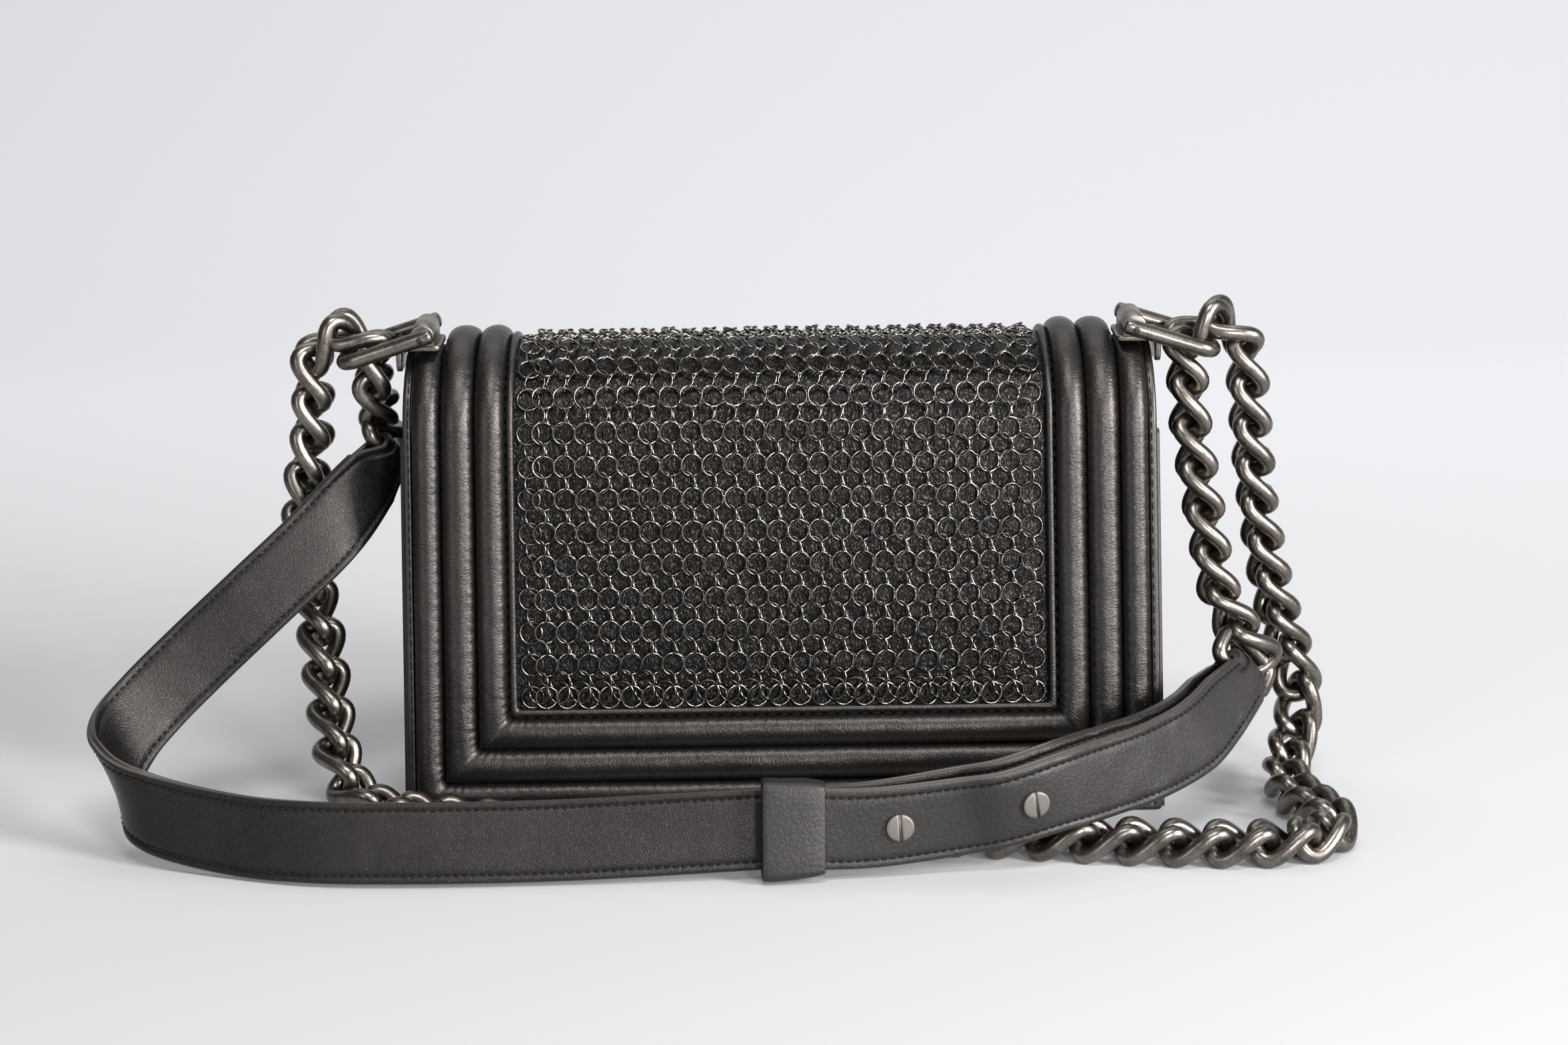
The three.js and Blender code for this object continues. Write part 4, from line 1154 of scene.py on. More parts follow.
# How far the lowest rings hang below the panel's inner edge, and the extra row of linking rings above them
MAIL_DROP = 1.5
MAIL_EXTRA = 1.5
# Lean to the side and nod of a ring in degrees, each with its spread, and the lean of the sewn rings
MAIL_LEAN = (20, 3)
MAIL_NOD = (2, 3)
MAIL_SEWN_LEAN = 0.2
# Height of a ring's middle over the leather, free and sewn, and the spread of its three places
MAIL_HEIGHT = 1.65
MAIL_SEWN_HEIGHT = 0.75
MAIL_SPREAD = (0.08, 0.09, 0.06)
# How far beyond the top the rings of the back go, and the sides of the wire
MAIL_SPLIT = 8
MAIL_SIDES = 5


class BAG_OT_mail(bpy.types.Operator):
    """Builds the panel of linked rings, on the back, over the top and down the flap"""

    bl_idname = "bag.mail"
    bl_label = "Ring mail"

    def execute(self, context):
        cover = Cover(context.scene.bag_body)
        sizes = context.scene.bag_mail
        radius = sizes.radius / MM
        wire = sizes.wire / MM / 2
        chance = np.random.RandomState(sizes.seed)
        x, s, lean = self.places(cover, radius, sizes.across / MM, sizes.along / MM)
        count = len(x)
        x = x + chance.normal(0, MAIL_SPREAD[0], count)
        s = s + chance.normal(0, MAIL_SPREAD[1], count)
        tilt = lean * np.radians(chance.normal(*MAIL_LEAN, count))
        nod = np.radians(chance.normal(*MAIL_NOD, count))
        height = np.where(np.abs(lean) < 1, MAIL_SEWN_HEIGHT, MAIL_HEIGHT)
        height = height + chance.normal(0, MAIL_SPREAD[2], count)
        centre = cover.point(x, s, height)
        axes = self.axes(cover.normal(s), tilt[:, None], nod[:, None])
        split = cover.length / 2 + MAIL_SPLIT
        for name, chosen, steps in (("mail_rings_back", s < split, 22), ("mail_rings_flap", s >= split, 18)):
            angle = turns(steps)
            outline = radius * np.stack([np.cos(angle), np.sin(angle), 0 * angle], -1)
            skin = Skin()
            skin.scatter(ring_shape(outline, outline, wire, MAIL_SIDES), centre[chosen], axes[chosen])
            skin.piece(name, "ring", ["mail_panel"])
        return {"FINISHED"}

    def places(self, cover, radius, across, along):
        """x, s and lean of every ring: full columns, the rings that link them, and the sewn columns."""
        low = MAIL_INSET + radius - MAIL_DROP
        rows = round((cover.length - 2 * low) / along)
        along = (cover.length - 2 * low) / rows
        count = int((cover.half - MAIL_INSET - radius - MAIL_FIRST) / across) + 1
        column = MAIL_FIRST + across * np.arange(count)
        last = column[-1] + across
        linked = np.append(column, last) - MAIL_SHIFT
        places = [self.row(linked, low + MAIL_EXTRA, -1.0)]
        for j in range(2 * rows + 1):
            s = low + j * along / 2
            if j % 2:
                places.append(self.row(linked, s, -1.0))
                continue
            places.append(self.row(column, s, 1.0))
            places.append(self.row((MAIL_SEWN, last), s, MAIL_SEWN_LEAN))
        return np.concatenate(places).T

    @staticmethod
    def axes(normal, tilt, nod):
        """Axes of rings that lean to the side and nod."""
        right = np.broadcast_to([1.0, 0, 0], normal.shape)
        up = np.cross(normal, right)
        first = right * np.cos(tilt) - normal * np.sin(tilt)
        face = right * np.sin(tilt) + normal * np.cos(tilt)
        second = up * np.cos(nod) + face * np.sin(nod)
        return np.stack([first, second, np.cross(first, second)], 1)

    @staticmethod
    def row(x, s, lean):
        x = np.atleast_1d(x)
        return np.stack([x, np.full(len(x), s), np.full(len(x), lean)], -1)


# Hardware


def corner_pose(side):
    place = Matrix.Translation(Vector((side * BRACKET_PLACE[0], *BRACKET_PLACE[1:])))
    return np.array(place @ Matrix.Rotation(math.radians(BRACKET_TILT), 4, "X"))


def posed(points, pose):
    return points @ pose[:3, :3].T + pose[:3, 3]


def placed(rows, at, first, second, third):
    """Points of a piece set on a place and three axes."""
    return at + rows[..., :1] * first + rows[..., 1:2] * second + rows[..., 2:] * third


def rounded_outline(half_x, half_y, corner, steps=6):
    """A rectangle with round corners, as points in its plane."""
    points = []
    for turn, (sx, sy) in zip((0, 90, 180, 270), ((1, 1), (-1, 1), (-1, -1), (1, -1))):
        for angle in np.radians(np.linspace(turn, turn + 90, steps)):
            points.append((sx * (half_x - corner) + corner * math.cos(angle),
                           sy * (half_y - corner) + corner * math.sin(angle)))
    return np.array(points)


def bevelled_plate(outline, bottom, top, edge):
    """Rings of a plate with softened rims, from an outline about its middle."""
    size = np.abs(outline).max(0)
    rings = []
    rim = 0.3 * edge
    for z, inset in ((bottom, edge), (bottom + rim, rim), (bottom + edge, 0.0), (top - edge, 0.0),
                     (top - rim, rim), (top, edge), (top, 3 * edge)):
        shrunk = outline * (1 - inset / size)
        rings.append(np.concatenate([shrunk, np.full((len(outline), 1), z)], 1))
    return np.stack(rings)


class BAG_OT_hardware(bpy.types.Operator):
    """Builds the brackets, pins and bails at the top corners, and the clasp plate"""

    bl_idname = "bag.hardware"
    bl_label = "Hardware"

    def execute(self, context):
        wire = context.scene.bag_chain.wire / MM
        for side, end in ENDS:
            pose = corner_pose(side)
            self.lug(end, pose, wire)
            self.bracket(side, end, pose)
            self.bail(side, end, pose, wire)
            self.pin(end, pose, wire)
        self.clasp(Cover(context.scene.bag_body))
        return {"FINISHED"}

    def bracket(self, side, end, pose):
        """A plate on the shoulder of the bag with a leg down its end."""
        skin = Skin()
        outline = rounded_outline((BRACKET_INNER + BRACKET_OUTER) / 2, BRACKET_DEPTH / 2, BRACKET_CORNER)
        plate = bevelled_plate(outline, -BRACKET_PLATE, 0.0, BRACKET_EDGE)
        plate[..., 0] += side * (BRACKET_OUTER - BRACKET_INNER) / 2
        skin.tube(posed(plate, pose))
        outline = rounded_outline(LEG_DEPTH / 2, BRACKET_DROP / 2, LEG_CORNER)
        leg = bevelled_plate(outline, 0.0, BRACKET_PLATE, BRACKET_EDGE)
        leg = np.stack([side * (BRACKET_OUTER - BRACKET_PLATE + leg[..., 2]), leg[..., 0],
                        leg[..., 1] - BRACKET_DROP / 2], -1)
        skin.tube(posed(leg, pose))
        skin.piece(f"bracket_plate_{end}", "metal", [f"bracket_{end}"])

    def lug(self, end, pose, wire):
        """The arched lug on the bracket that the pin goes through."""
        half = LUG_WIDTH / 2
        long = BAIL_SPREAD - wire - 2 * GAP
        angle = np.linspace(0, np.pi, 15)
        arch = np.stack([half * np.cos(angle), PIN_UP + half * np.sin(angle)], -1)
        profile = np.concatenate([[[half, LUG_FOOT]], arch, [[-half, LUG_FOOT]]])
        middle = np.array([0, PIN_UP / 2])
        rim = ((0.45, 0.0), (0.15, 0.12), (0.0, 0.35))
        rings = []
        for way, inset, drawn in [(-1, *place) for place in rim] + [(1, *place) for place in rim[::-1]]:
            shrunk = middle + (profile - middle) * (1 - inset / half)
            depth = np.full(len(shrunk), way * (long / 2 - drawn))
            rings.append(np.stack([shrunk[:, 0], depth, shrunk[:, 1]], -1))
        skin = Skin()
        skin.tube(posed(np.stack(rings), pose))
        skin.piece(f"lug_{end}", "lug")

    def bail(self, side, end, pose, wire):
        """A wire in the form of a U that turns on the pin and carries the chain."""
        half = BAIL_SPREAD / 2
        clear = BAIL_CORNER + 0.8
        turn = np.radians(np.linspace(0, 90, 9))[:, None]
        near = np.array([[-BAIL_REACH + BAIL_CORNER, -half + BAIL_CORNER, 0]])
        bend = near + BAIL_CORNER * np.concatenate([-np.sin(turn), -np.cos(turn), 0 * turn], 1)
        arm = np.linspace([BAIL_EYE, -half, 0], [-BAIL_REACH + clear, -half, 0], 12)
        bar = np.linspace([-BAIL_REACH, -half + clear, 0], [-BAIL_REACH, 0, 0], 6)
        line = np.concatenate([arm, bend, bar])
        line = np.concatenate([line, (line * [1, -1, 1])[::-1][1:]])
        along = unit(np.gradient(line, axis=0))
        out = np.stack([-along[:, 1], along[:, 0], 0 * along[:, 0]], -1)
        angle = turns(18)[None, :, None]
        ring = np.cos(angle) * out[:, None] + np.sin(angle) * np.array([0, 0, 1.0])
        rows = np.concatenate([
            self.dome(line[0], along[0], ring[0], wire, -1),
            line[:, None] + wire / 2 * ring,
            self.dome(line[-1], along[-1], ring[-1], wire, 1),
        ])
        slope = np.array(Matrix.Rotation(math.radians(-BAIL_SLOPE), 3, "Y"))
        rows = rows @ slope.T
        if side > 0:
            rows = rows * [-1, -1, 1]
        skin = Skin()
        skin.tube(posed(rows + [0, 0, PIN_UP], pose))
        skin.piece(f"bail_wire_{end}", "metal", [f"bail_{end}"])

    @staticmethod
    def dome(middle, along, ring, wire, way):
        """Rings that close the end of a wire."""
        flatness = 0.55
        rows = []
        for angle in np.radians([80, 60, 40, 20]):
            tip = middle + way * along * wire / 2 * flatness * math.sin(angle)
            rows.append(tip + wire / 2 * math.cos(angle) * ring)
        return np.stack(rows if way < 0 else rows[::-1])

    def pin(self, end, pose, wire):
        """A turned pin with softened ends."""
        half = (BAIL_SPREAD + wire) / 2
        rim = ((0.15, 0.12), (0.6, 0.15), (0.85, 0.08), (0.95, -0.1))
        profile = [(r, -half - proud) for r, proud in rim] + [(r, half + proud) for r, proud in rim[::-1]]
        angle = turns(16)
        rows = [np.stack([r * np.cos(angle), np.full_like(angle, y), PIN_UP + r * np.sin(angle)], -1)
                for r, y in profile]
        skin = Skin()
        skin.tube(posed(np.stack(rows), pose))
        # Its finish is painted very dark as shade, so that its ends look like holes in the bail's arms.
        skin.piece(f"pin_turned_{end}", "pin", [f"pin_{end}"])

    def clasp(self, cover):
        """A plain plate with a softened rim and a shallow raised field."""
        low, high = (np.array(corner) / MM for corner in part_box("clasp_plate"))
        half_x = (high[0] - low[0]) / 2
        seat = cover.point(0.0, cover.length - CLASP_AT, 2 * GAP + cover.roll)
        out = cover.normal(cover.length - CLASP_AT)
        right = np.array([-1.0, 0, 0])
        up = np.cross(out, right)
        outline = rounded_outline(half_x, CLASP_HALF, CLASP_CORNER, 8)
        plate = bevelled_plate(outline, 0.0, CLASP_PLATE, 0.45)
        field = bevelled_plate(outline * [0.8, 0.72], CLASP_PLATE - 0.1, CLASP_FIELD, 0.2)
        skin = Skin()
        for rows in (plate, field):
            skin.tube(placed(rows, seat, right, up, out))
        skin.piece("clasp_plain", "metal", ["clasp_plate"])


# The strap


def strap_rows(table):
    table = np.array(table, float)
    return table[:, :3], unit(table[:, 3:6]), table[:, 6]


def row_frames(at, across):
    before = np.concatenate([at[:1], at[:-1]])
    after = np.concatenate([at[1:], at[-1:]])
    along = square_to(after - before, across)
    return along, np.cross(along, across)


class StrapLine:
    """Stations of the strap in order: the left tab, the band, the fold at the right and the doubled tail."""

    STEPS = 14
    TURN = 16

    def __init__(self, sizes, wire):
        self.thickness = sizes.thickness / MM
        self.layer = sizes.layer / MM
        self.wire = wire
        single = strap_rows(SINGLE_ROWS)
        tail = strap_rows(DOUBLE_ROWS)
        along, out = row_frames(tail[0], tail[1])
        spread = np.array(LAYER_SPREAD)[:, None]
        lift = np.array(BAND_LIFT)[:, None]
        doubled = (tail[0] - spread * out + lift * tail[1], tail[1], tail[2])
        band = tuple(np.concatenate([single[k], doubled[k]]) for k in range(3))
        self.tail = self.stretch(*tail)
        self.band = self.stretch(*band)
        radius = LAYER_SPREAD[-1] / 2
        self.right = {"along": along[-1], "across": tail[1][-1], "out": out[-1], "radius": radius,
                      "bar": tail[0][-1] - radius * out[-1] + BAR_RIGHT * along[-1]}
        way, face = row_frames(single[0], single[1])
        self.left = {"along": -way[0], "across": single[1][0], "out": face[0],
                     "radius": wire / 2 + 2 * GAP + TAB_THICKNESS / 2, "start": single[0][0]}
        self.left["bar"] = single[0][0] + BAR_LEFT * self.left["along"] + BAR_LEFT_OFF * face[0]

    def stretch(self, at, across, width):
        total = (len(at) - 1) * self.STEPS
        t = np.arange(total + 1) / total
        small = 1e-4
        along = unit(catmull(at, np.minimum(t + small, 1)) - catmull(at, np.maximum(t - small, 0)))
        side = square_to(catmull(across, t), along)
        wide = np.interp(t, np.linspace(0, 1, len(at)), width)
        return {"at": catmull(at, t), "across": side, "out": np.cross(along, side), "width": wide,
                "thickness": np.full(total + 1, self.thickness)}

    def fold(self, end, start, thickness):
        angle = np.linspace(0, np.pi, self.TURN + 1)[:, None]
        way = start * np.cos(angle) + end["along"] * np.sin(angle)
        count = len(angle)
        return {"at": end["bar"] + end["radius"] * way, "across": np.repeat(end["across"][None], count, 0),
                "out": -way, "width": np.full(count, FOLD_WIDTH), "thickness": np.full(count, thickness)}

    def tab(self):
        """The tab at the left: behind the strap, round the bar, and back onto the strap's end."""
        left = self.left
        behind = self.thickness / 2 + GAP + TAB_THICKNESS / 2
        before = -0.7

        def places(rows, out):
            runs, depths, widths = np.array(rows, float).T
            at = left["start"] + np.outer(runs, left["along"]) + np.outer(depths, left["out"])
            count = len(runs)
            return {"at": at, "across": np.repeat(left["across"][None], count, 0),
                    "out": np.repeat(out[None], count, 0), "width": widths,
                    "thickness": np.full(count, TAB_THICKNESS)}

        under = ((-8, behind, 16), (-5, behind, 16), (-2, behind, 16), (2, behind + 0.3, 15))
        over = ((3.2, before, 16.5), (2, before, 17.5), (0.8, before, 18.5))
        fold = self.fold(left, left["out"], TAB_THICKNESS)
        return [places(under, -left["out"]), fold, places(over, left["out"])]

    def stations(self):
        right = self.right
        turn = self.fold(right, -right["out"], self.thickness)
        back = {key: values[::-1] for key, values in self.tail.items()}
        back["out"] = -back["out"]
        runs = [*self.tab(), self.band, turn, back]
        joined = {key: np.concatenate([run[key] for run in runs]) for key in self.band}
        count = len(joined["at"])
        joined["tail"] = np.arange(count) >= count - len(back["at"]) - self.TURN // 2
        return joined

    def on_tail(self, x):
        """Place and axes on the outside layer, by x."""
        tail = self.tail
        at, across, out = (
            np.array([np.interp(x, tail["at"][:, 0], tail[key][:, k]) for k in range(3)])
            for key in ("at", "across", "out")
        )
        across = unit(across)
        out = square_to(out, across)
        return at, across, out, np.cross(across, out)


# Half of the strap's section: share of the half width, step in from the edge, face, and lift off the face
STRAP_SECTION = (
    (1, 0.34, 0.06, 0), (1, 0.06, 0.32, 0), (1, 0.0, 0.6, 0), (1, 0.14, 0.86, 0), (1, 0.5, 0.99, 0),
    (1, 1.0, 1, 0.1), (1, 1.5, 1, 0.04), (1, 1.9, 1, -0.2), (1, 2.15, 1, -0.26), (1, 2.4, 1, -0.2),
    (1, 2.9, 1, 0.04), (1, 3.8, 1, 0.12), (0.5, 0, 1, 0.17), (0.25, 0, 1, 0.19),
)
STRAP_MIDDLE = (0.0, 0, 1, 0.2)
# The stitches: in from the edge, off the face, and thickness of the thread
STITCH_IN = 2.15
STITCH_OFF = 0.02
STRAP_THREAD = 0.22
# Where the strap's deeper creases begin along x, and how far on they are full
CREASE_START = 60
CREASE_RUN = 40


class BAG_OT_strap(bpy.types.Operator):
    """Builds the shoulder strap with its plies, folds and stitches, its keeper and its two screws"""

    bl_idname = "bag.strap"
    bl_label = "Shoulder strap"

    def execute(self, context):
        sizes = context.scene.bag_strap
        line = StrapLine(sizes, context.scene.bag_chain.wire / MM)
        self.ribbon(line)
        self.stitches(line, sizes.stitch / MM)
        self.keeper(line, sizes)
        for number, x in enumerate(SCREW_PLACES, 1):
            self.screw(line, number, x)
        return {"FINISHED"}

    def ribbon(self, line):
        stations = line.stations()
        at = stations["at"]
        thickness = stations["thickness"]
        run = run_length(at)
        creased = np.clip((at[:, 0] - CREASE_START) / CREASE_RUN, 0, 1)
        upper = [*STRAP_SECTION, STRAP_MIDDLE]
        upper = upper + [(-share, -step, face, lift) for share, step, face, lift in STRAP_SECTION[::-1]]
        lower = [tuple(-value for value in place) for place in upper]
        rows = []
        grain = []
        for share, step, face, lift in upper + lower:
            a = share * stations["width"] / 2 - step
            slack = 0.09 * soft_noise(run / 3.1 + 9, 20 + a / 3.1, 41)
            deep = 0.22 * soft_noise(run / 6.5 + 4, 20 + a / 4.0, 43) * creased
            give = np.where(abs(face) == 1, slack + deep, 0.0) * min(1.0, abs(share * 10 - step) / 3 + 0.2)
            b = face * thickness / 2 + lift * thickness / line.thickness + give
            rows.append(at + a[:, None] * stations["across"] + b[:, None] * stations["out"])
            grain.append(np.stack([run, a, np.full_like(run, 3.0 * face)], -1))
        skin = Skin()
        skin.tube(np.stack(rows, 1), False, np.stack(grain, 1))
        made = skin.piece("strap_leather", "strap", ["strap"])
        made.data.materials.append(FINISH["tail"])
        on_tail = np.repeat(stations["tail"][1:], len(rows))
        made.data.polygons.foreach_set("material_index", np.append(on_tail, [False, True]).astype(np.int32))

    def stitches(self, line, pitch):
        skin = Skin()
        for run in (line.band, line.tail):
            for edge in (-1, 1):
                for face in (-1, 1):
                    a = edge * (run["width"] / 2 - STITCH_IN)
                    b = face * (run["thickness"] / 2 + STITCH_OFF)
                    places = run["at"] + a[:, None] * run["across"] + b[:, None] * run["out"]
                    sew(skin, places, face * run["out"], pitch, STRAP_THREAD)
        skin.piece("strap_stitches", "thread")

    def keeper(self, line, sizes):
        """A loop of leather round both layers, full at its left and nearly flush at its right."""
        at, across, out, along = line.on_tail(KEEPER_PLACE)
        middle = at - line.layer / 2 * out
        wide = sizes.width / MM / 2 + KEEPER_ROOM
        deep = (line.thickness + line.layer) / 2 + KEEPER_ROOM
        half = sizes.keeper / MM / 2
        loop = self.loop(wide + KEEPER_WALL / 2, deep + KEEPER_WALL / 2)
        ahead = unit(np.roll(loop, -1, 0) - np.roll(loop, 1, 0))
        outside = np.stack([ahead[:, 1], -ahead[:, 0]], -1)
        section = [(-half, 0), (-half + 0.1, 0.4), (-half + 0.5, 0.62), (-half + 1.4, 0.7),
                   (-0.7 * half, 0.72), (-half / 2, 0.7), (-0.3 * half, 0.66), (0, 0.56), (0.3 * half, 0.44),
                   (half / 2, 0.32), (0.7 * half, 0.14), (half - 1.2, -0.1), (half - 0.5, -0.34),
                   (half - 0.15, -0.55), (half - 0.1, -0.8), (half - 0.5, -0.98), (0, -0.7),
                   (-half + 0.5, -0.68), (-half + 0.1, -0.4)]
        turn = run_length(loop)
        upper_edge = np.clip((loop[:, 0] - wide) / KEEPER_WALL, 0, 1)
        lower_edge = np.clip(-loop[:, 0] / wide, 0, 1)
        rows = []
        grain = []
        for run, rise in section:
            wave = 0.12 * soft_noise(turn / 5.0 + 3, np.full_like(turn, run / 4.0 + 9), 57)
            gather = 0.14 * math.sin(2 * np.pi * run / 1.9) * upper_edge
            lifted = rise + (wave + gather if rise > 0.25 else 0 * wave)
            flat = loop + lifted[:, None] * outside
            flat[:, 0] -= KEEPER_SAG * (half - run) / (2 * half) * lower_edge ** 2
            rows.append(middle + run * along + flat[:, :1] * across + flat[:, 1:] * out)
            grain.append(np.stack([turn, np.full_like(turn, run), np.full_like(turn, 5.0 + rise)], -1))
        skin = Skin()
        skin.tube(np.stack(rows, 1), True, np.stack(grain, 1))
        skin.piece("keeper_loop", "tail", ["strap_keeper"])

    @staticmethod
    def loop(half_x, half_y):
        """A rounded outline whose straight sides are parted into short steps."""
        corners = rounded_outline(half_x, half_y, KEEPER_CORNER, 7)
        straight = 2
        runs = []
        for here, there in zip(corners, np.roll(corners, -1, 0)):
            apart = np.linalg.norm(here - there)
            runs.append(np.linspace(here, there, 7)[:-1] if apart > straight else here[None])
        return np.concatenate(runs)

    def screw(self, line, number, x):
        """Two half heads with a slot between them, and the shank, flange and foot behind."""
        at, across, out, along = line.on_tail(x)
        face = line.thickness / 2 + SCREW_PROUD
        foot = -face - line.layer
        angle = np.radians(np.linspace(-84, 84, 25))
        skin = Skin()
        for side in (-1, 1):
            arc = np.stack([side * SCREW_HEAD * np.cos(angle), SCREW_HEAD * np.sin(angle)], -1)
            arc[:, 0] = side * np.maximum(side * arc[:, 0], SCREW_SLOT)
            middle = np.array([side * SCREW_HALF_MIDDLE, 0.0])
            rings = []
            for y, shrink in ((0.0, 0.02), (0.25, 0.0), (0.75, 0.0), (0.98, 0.035), (1.1, 0.1), (1.13, 0.3)):
                ring = middle + (arc - middle) * (1 - shrink)
                ring[:, 0] = side * np.maximum(side * ring[:, 0], SCREW_SLOT + 0.3 * shrink)
                rings.append(np.stack([ring[:, 0], ring[:, 1], np.full(len(ring), face + y)], -1))
            skin.tube(placed(np.stack(rings), at, along, across, out))
        profile = ((SCREW_MIDDLE, face + 0.45), (SCREW_FLANGE, face + 0.45), (SCREW_FLANGE + 0.08, face),
                   (SCREW_SHANK, face - 0.1), (SCREW_SHANK, foot - 0.2), (SCREW_FLANGE, foot - 0.2),
                   (SCREW_FLANGE + 0.1, foot - 0.7), (SCREW_FLANGE - 0.2, foot - 1.2),
                   (SCREW_MIDDLE, foot - 1.25))
        around = turns(32)
        rows = [np.stack([r * np.cos(around), r * np.sin(around), np.full_like(around, z)], -1)
                for r, z in profile]
        skin.tube(placed(np.stack(rows), at, along, across, out))
        skin.piece(f"screw_slotted_{number}", "screw", [f"screw_{number}"])


# The chain


def route(rows):
    rows = np.array(rows, float)
    return rows[:, :3], rows[:, 3:]


def joints(points, pitch):
    """Parameters of the joints along a route, in equal chords that end on its last point."""
    fine = 4000
    t = np.arange(fine + 1) / fine
    line = catmull(points, t)
    count = round(run_length(line)[-1] / pitch)

    def steps(chord):
        stops = [0]
        for k in range(1, fine + 1):
            if len(stops) > count:
                break
            if math.dist(line[k], line[stops[-1]]) >= chord:
                stops.append(k)
        return stops

    low = 0.85 * pitch
    high = 1.15 * pitch
    halvings = 18
    for _ in range(halvings):
        chord = (low + high) / 2
        if len(steps(chord)) > count:
            low = chord
        else:
            high = chord
    return t[steps(low)]


def link_frames(rows, pitch):
    points, flat = route(rows)
    stops = joints(points, pitch)
    ends = catmull(points, stops)
    along = unit(np.diff(ends, axis=0))
    across = square_to(catmull(flat, (stops[1:] + stops[:-1]) / 2), along)
    return (ends[1:] + ends[:-1]) / 2, np.stack([along, across, np.cross(along, across)], 1)


class BAG_OT_chain(bpy.types.Operator):
    """Builds the curb links and the two long end links"""

    bl_idname = "bag.chain"
    bl_label = "Chain"

    def execute(self, context):
        sizes = context.scene.bag_chain
        wire = sizes.wire / MM
        long = sizes.half_length / MM
        angle = turns(LINK_STEPS)
        outline = np.stack([long * np.cos(angle), sizes.half_width / MM * np.sin(angle),
                            -sizes.twist / MM * np.sin(2 * angle)], -1)
        link = ring_shape(outline, outline, wire / 2, LINK_SIDES)
        frames = [link_frames(rows, sizes.pitch / MM) for rows in (MAIN_ROUTE, LEFT_ROUTE, RIGHT_ROUTE)]
        skin = Skin()
        for centres, axes in frames:
            lowest = (centres[:, None] + np.einsum("kc,ncd->nkd", link[0], axes))[..., 2].min(1)
            centres[:, 2] += np.maximum(0.0, -lowest)
            skin.scatter(link, centres, axes)
        strap = StrapLine(context.scene.bag_strap, wire)
        for end, (centres, axes) in ((strap.left, frames[1]), (strap.right, frames[2])):
            hooked = centres[-1] + axes[-1][0] * (long - LINK_HOOK * wire)
            self.end_link(skin, end, hooked, wire)
        skin.piece("chain_links", "metal", ["chain"])
        return {"FINISHED"}

    def end_link(self, skin, end, hooked, wire):
        """A long plain link through the strap's fold and the last curb link."""
        across = square_to(hooked - end["bar"], end["across"])
        half = np.dot(hooked - end["bar"], across) / 2
        angle = turns(END_LINK_STEPS)
        u = END_LINK_HALF * np.sign(np.cos(angle)) * np.abs(np.cos(angle)) ** END_LINK_SHAPE
        v = half * np.sign(np.sin(angle)) * np.abs(np.sin(angle)) ** END_LINK_SHAPE
        outline = u[:, None] * end["across"] + v[:, None] * across
        shape = ring_shape(outline, outline, wire / 2, LINK_SIDES)
        middle = end["bar"] + half * across
        skin.scatter(shape, middle[None], np.eye(3)[None])


# The studio


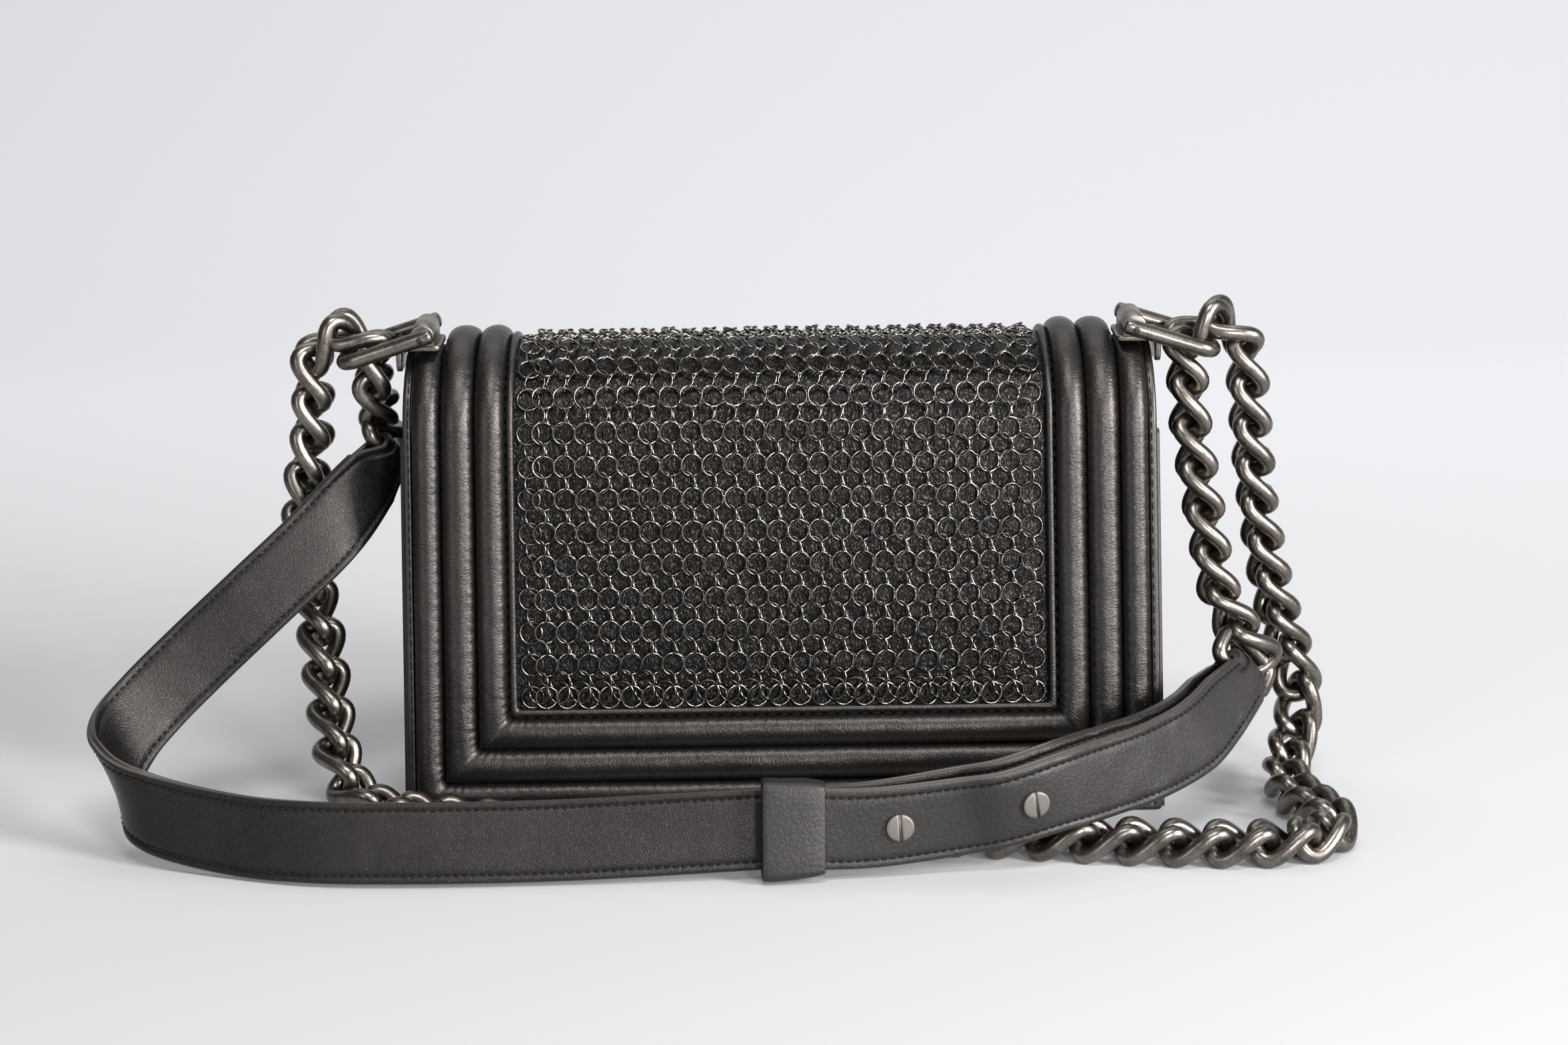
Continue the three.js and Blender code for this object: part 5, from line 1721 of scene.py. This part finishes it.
class BAG_OT_stage(bpy.types.Operator):
    """Sets the floor and backdrop, the lights and the camera"""

    bl_idname = "bag.stage"
    bl_label = "Studio"

    def execute(self, context):
        context.scene.view_settings.view_transform = "Standard"
        self.paper()
        self.lights(context.scene)
        self.camera(context.scene)
        return {"FINISHED"}

    def paper(self):
        """A sheet of paper on the floor that rises in a long bend behind the bag."""
        angle = np.radians(np.linspace(0, 90, 24))[1:]
        back = PAPER_FLAT + PAPER_BEND
        y = np.concatenate([[PAPER_FRONT, PAPER_FLAT], PAPER_FLAT + PAPER_BEND * np.sin(angle), [back]])
        z = np.concatenate([[0, 0], PAPER_BEND - PAPER_BEND * np.cos(angle), [PAPER_TOP]])
        points = [(x, b, c) for b, c in zip(y, z) for x in (-PAPER_HALF, PAPER_HALF)]
        faces = [(2 * i, 2 * i + 1, 2 * i + 3, 2 * i + 2) for i in range(len(y) - 1)]
        mesh = bpy.data.meshes.new("studio_paper")
        mesh.from_pydata(points, [], faces)
        mesh.polygons.foreach_set("use_smooth", [True] * len(faces))
        mesh.materials.append(FINISH["paper"])
        made = bpy.data.objects.new("studio_paper", mesh)
        bpy.context.scene.collection.objects.link(made)

    def lights(self, scene):
        world = bpy.data.worlds.new("studio_air")
        world.use_nodes = True
        air = world.node_tree.nodes["Background"]
        air.inputs["Color"].default_value = AIR_COLOUR
        air.inputs["Strength"].default_value = AIR_STRENGTH
        scene.world = world
        for name, place, aim, width, height, power in LAMPS:
            lamp = bpy.data.lights.new(name, "AREA")
            lamp.shape = "RECTANGLE"
            lamp.size = width
            lamp.size_y = height
            lamp.energy = power
            holder = bpy.data.objects.new(name, lamp)
            holder.location = place
            holder.rotation_euler = (Vector(aim) - Vector(place)).to_track_quat("-Z", "Y").to_euler()
            scene.collection.objects.link(holder)

    def camera(self, scene):
        eye = bpy.data.cameras.new("photo_camera")
        eye.lens = CAMERA_LENS
        eye.sensor_width = CAMERA_SENSOR
        eye.clip_start = CAMERA_NEAR
        holder = bpy.data.objects.new("photo_camera", eye)
        tilt = Matrix.Rotation(math.radians(90 - CAMERA_DOWN), 4, "X")
        roll = Matrix.Rotation(math.radians(CAMERA_LEAN), 4, "Z")
        holder.matrix_world = Matrix.Translation(CAMERA_PLACE) @ tilt @ roll
        scene.collection.objects.link(holder)
        scene.camera = holder


class BAG_PT_panel(bpy.types.Panel):
    """Lists the steps that dress the bag, and their sizes"""

    bl_label = "Flap bag"
    bl_idname = "BAG_PT_panel"
    bl_space_type = "VIEW_3D"
    bl_region_type = "UI"
    bl_category = "Flap bag"

    def draw(self, context):
        for step in STEPS:
            self.layout.operator(step.bl_idname)
        for group in GROUPS:
            box = self.layout.box()
            box.label(text=GROUPS[group].__doc__)
            sizes = getattr(context.scene, group)
            for name in GROUPS[group].__annotations__:
                box.prop(sizes, name)


STEPS = (BAG_OT_panels, BAG_OT_frame, BAG_OT_mail, BAG_OT_hardware, BAG_OT_strap, BAG_OT_chain, BAG_OT_stage)
GROUPS = {"bag_body": BodySizes, "bag_mail": MailSizes, "bag_chain": ChainSizes, "bag_strap": StrapSizes,
          "bag_finishes": Finishes}


def register():
    for made in (*GROUPS.values(), *STEPS, BAG_PT_panel):
        bpy.utils.register_class(made)
    for name, group in GROUPS.items():
        setattr(bpy.types.Scene, name, PointerProperty(type=group))


def unregister():
    for name in GROUPS:
        delattr(bpy.types.Scene, name)
    for made in (BAG_PT_panel, *reversed(STEPS), *reversed(GROUPS.values())):
        bpy.utils.unregister_class(made)


def main():
    register()
    mix_finishes(bpy.context.scene.bag_finishes)
    bpy.ops.bag.panels()
    bpy.ops.bag.frame()
    bpy.ops.bag.mail()
    bpy.ops.bag.hardware()
    bpy.ops.bag.strap()
    bpy.ops.bag.chain()
    bpy.ops.bag.stage()


if __name__ == "__main__":
    main()
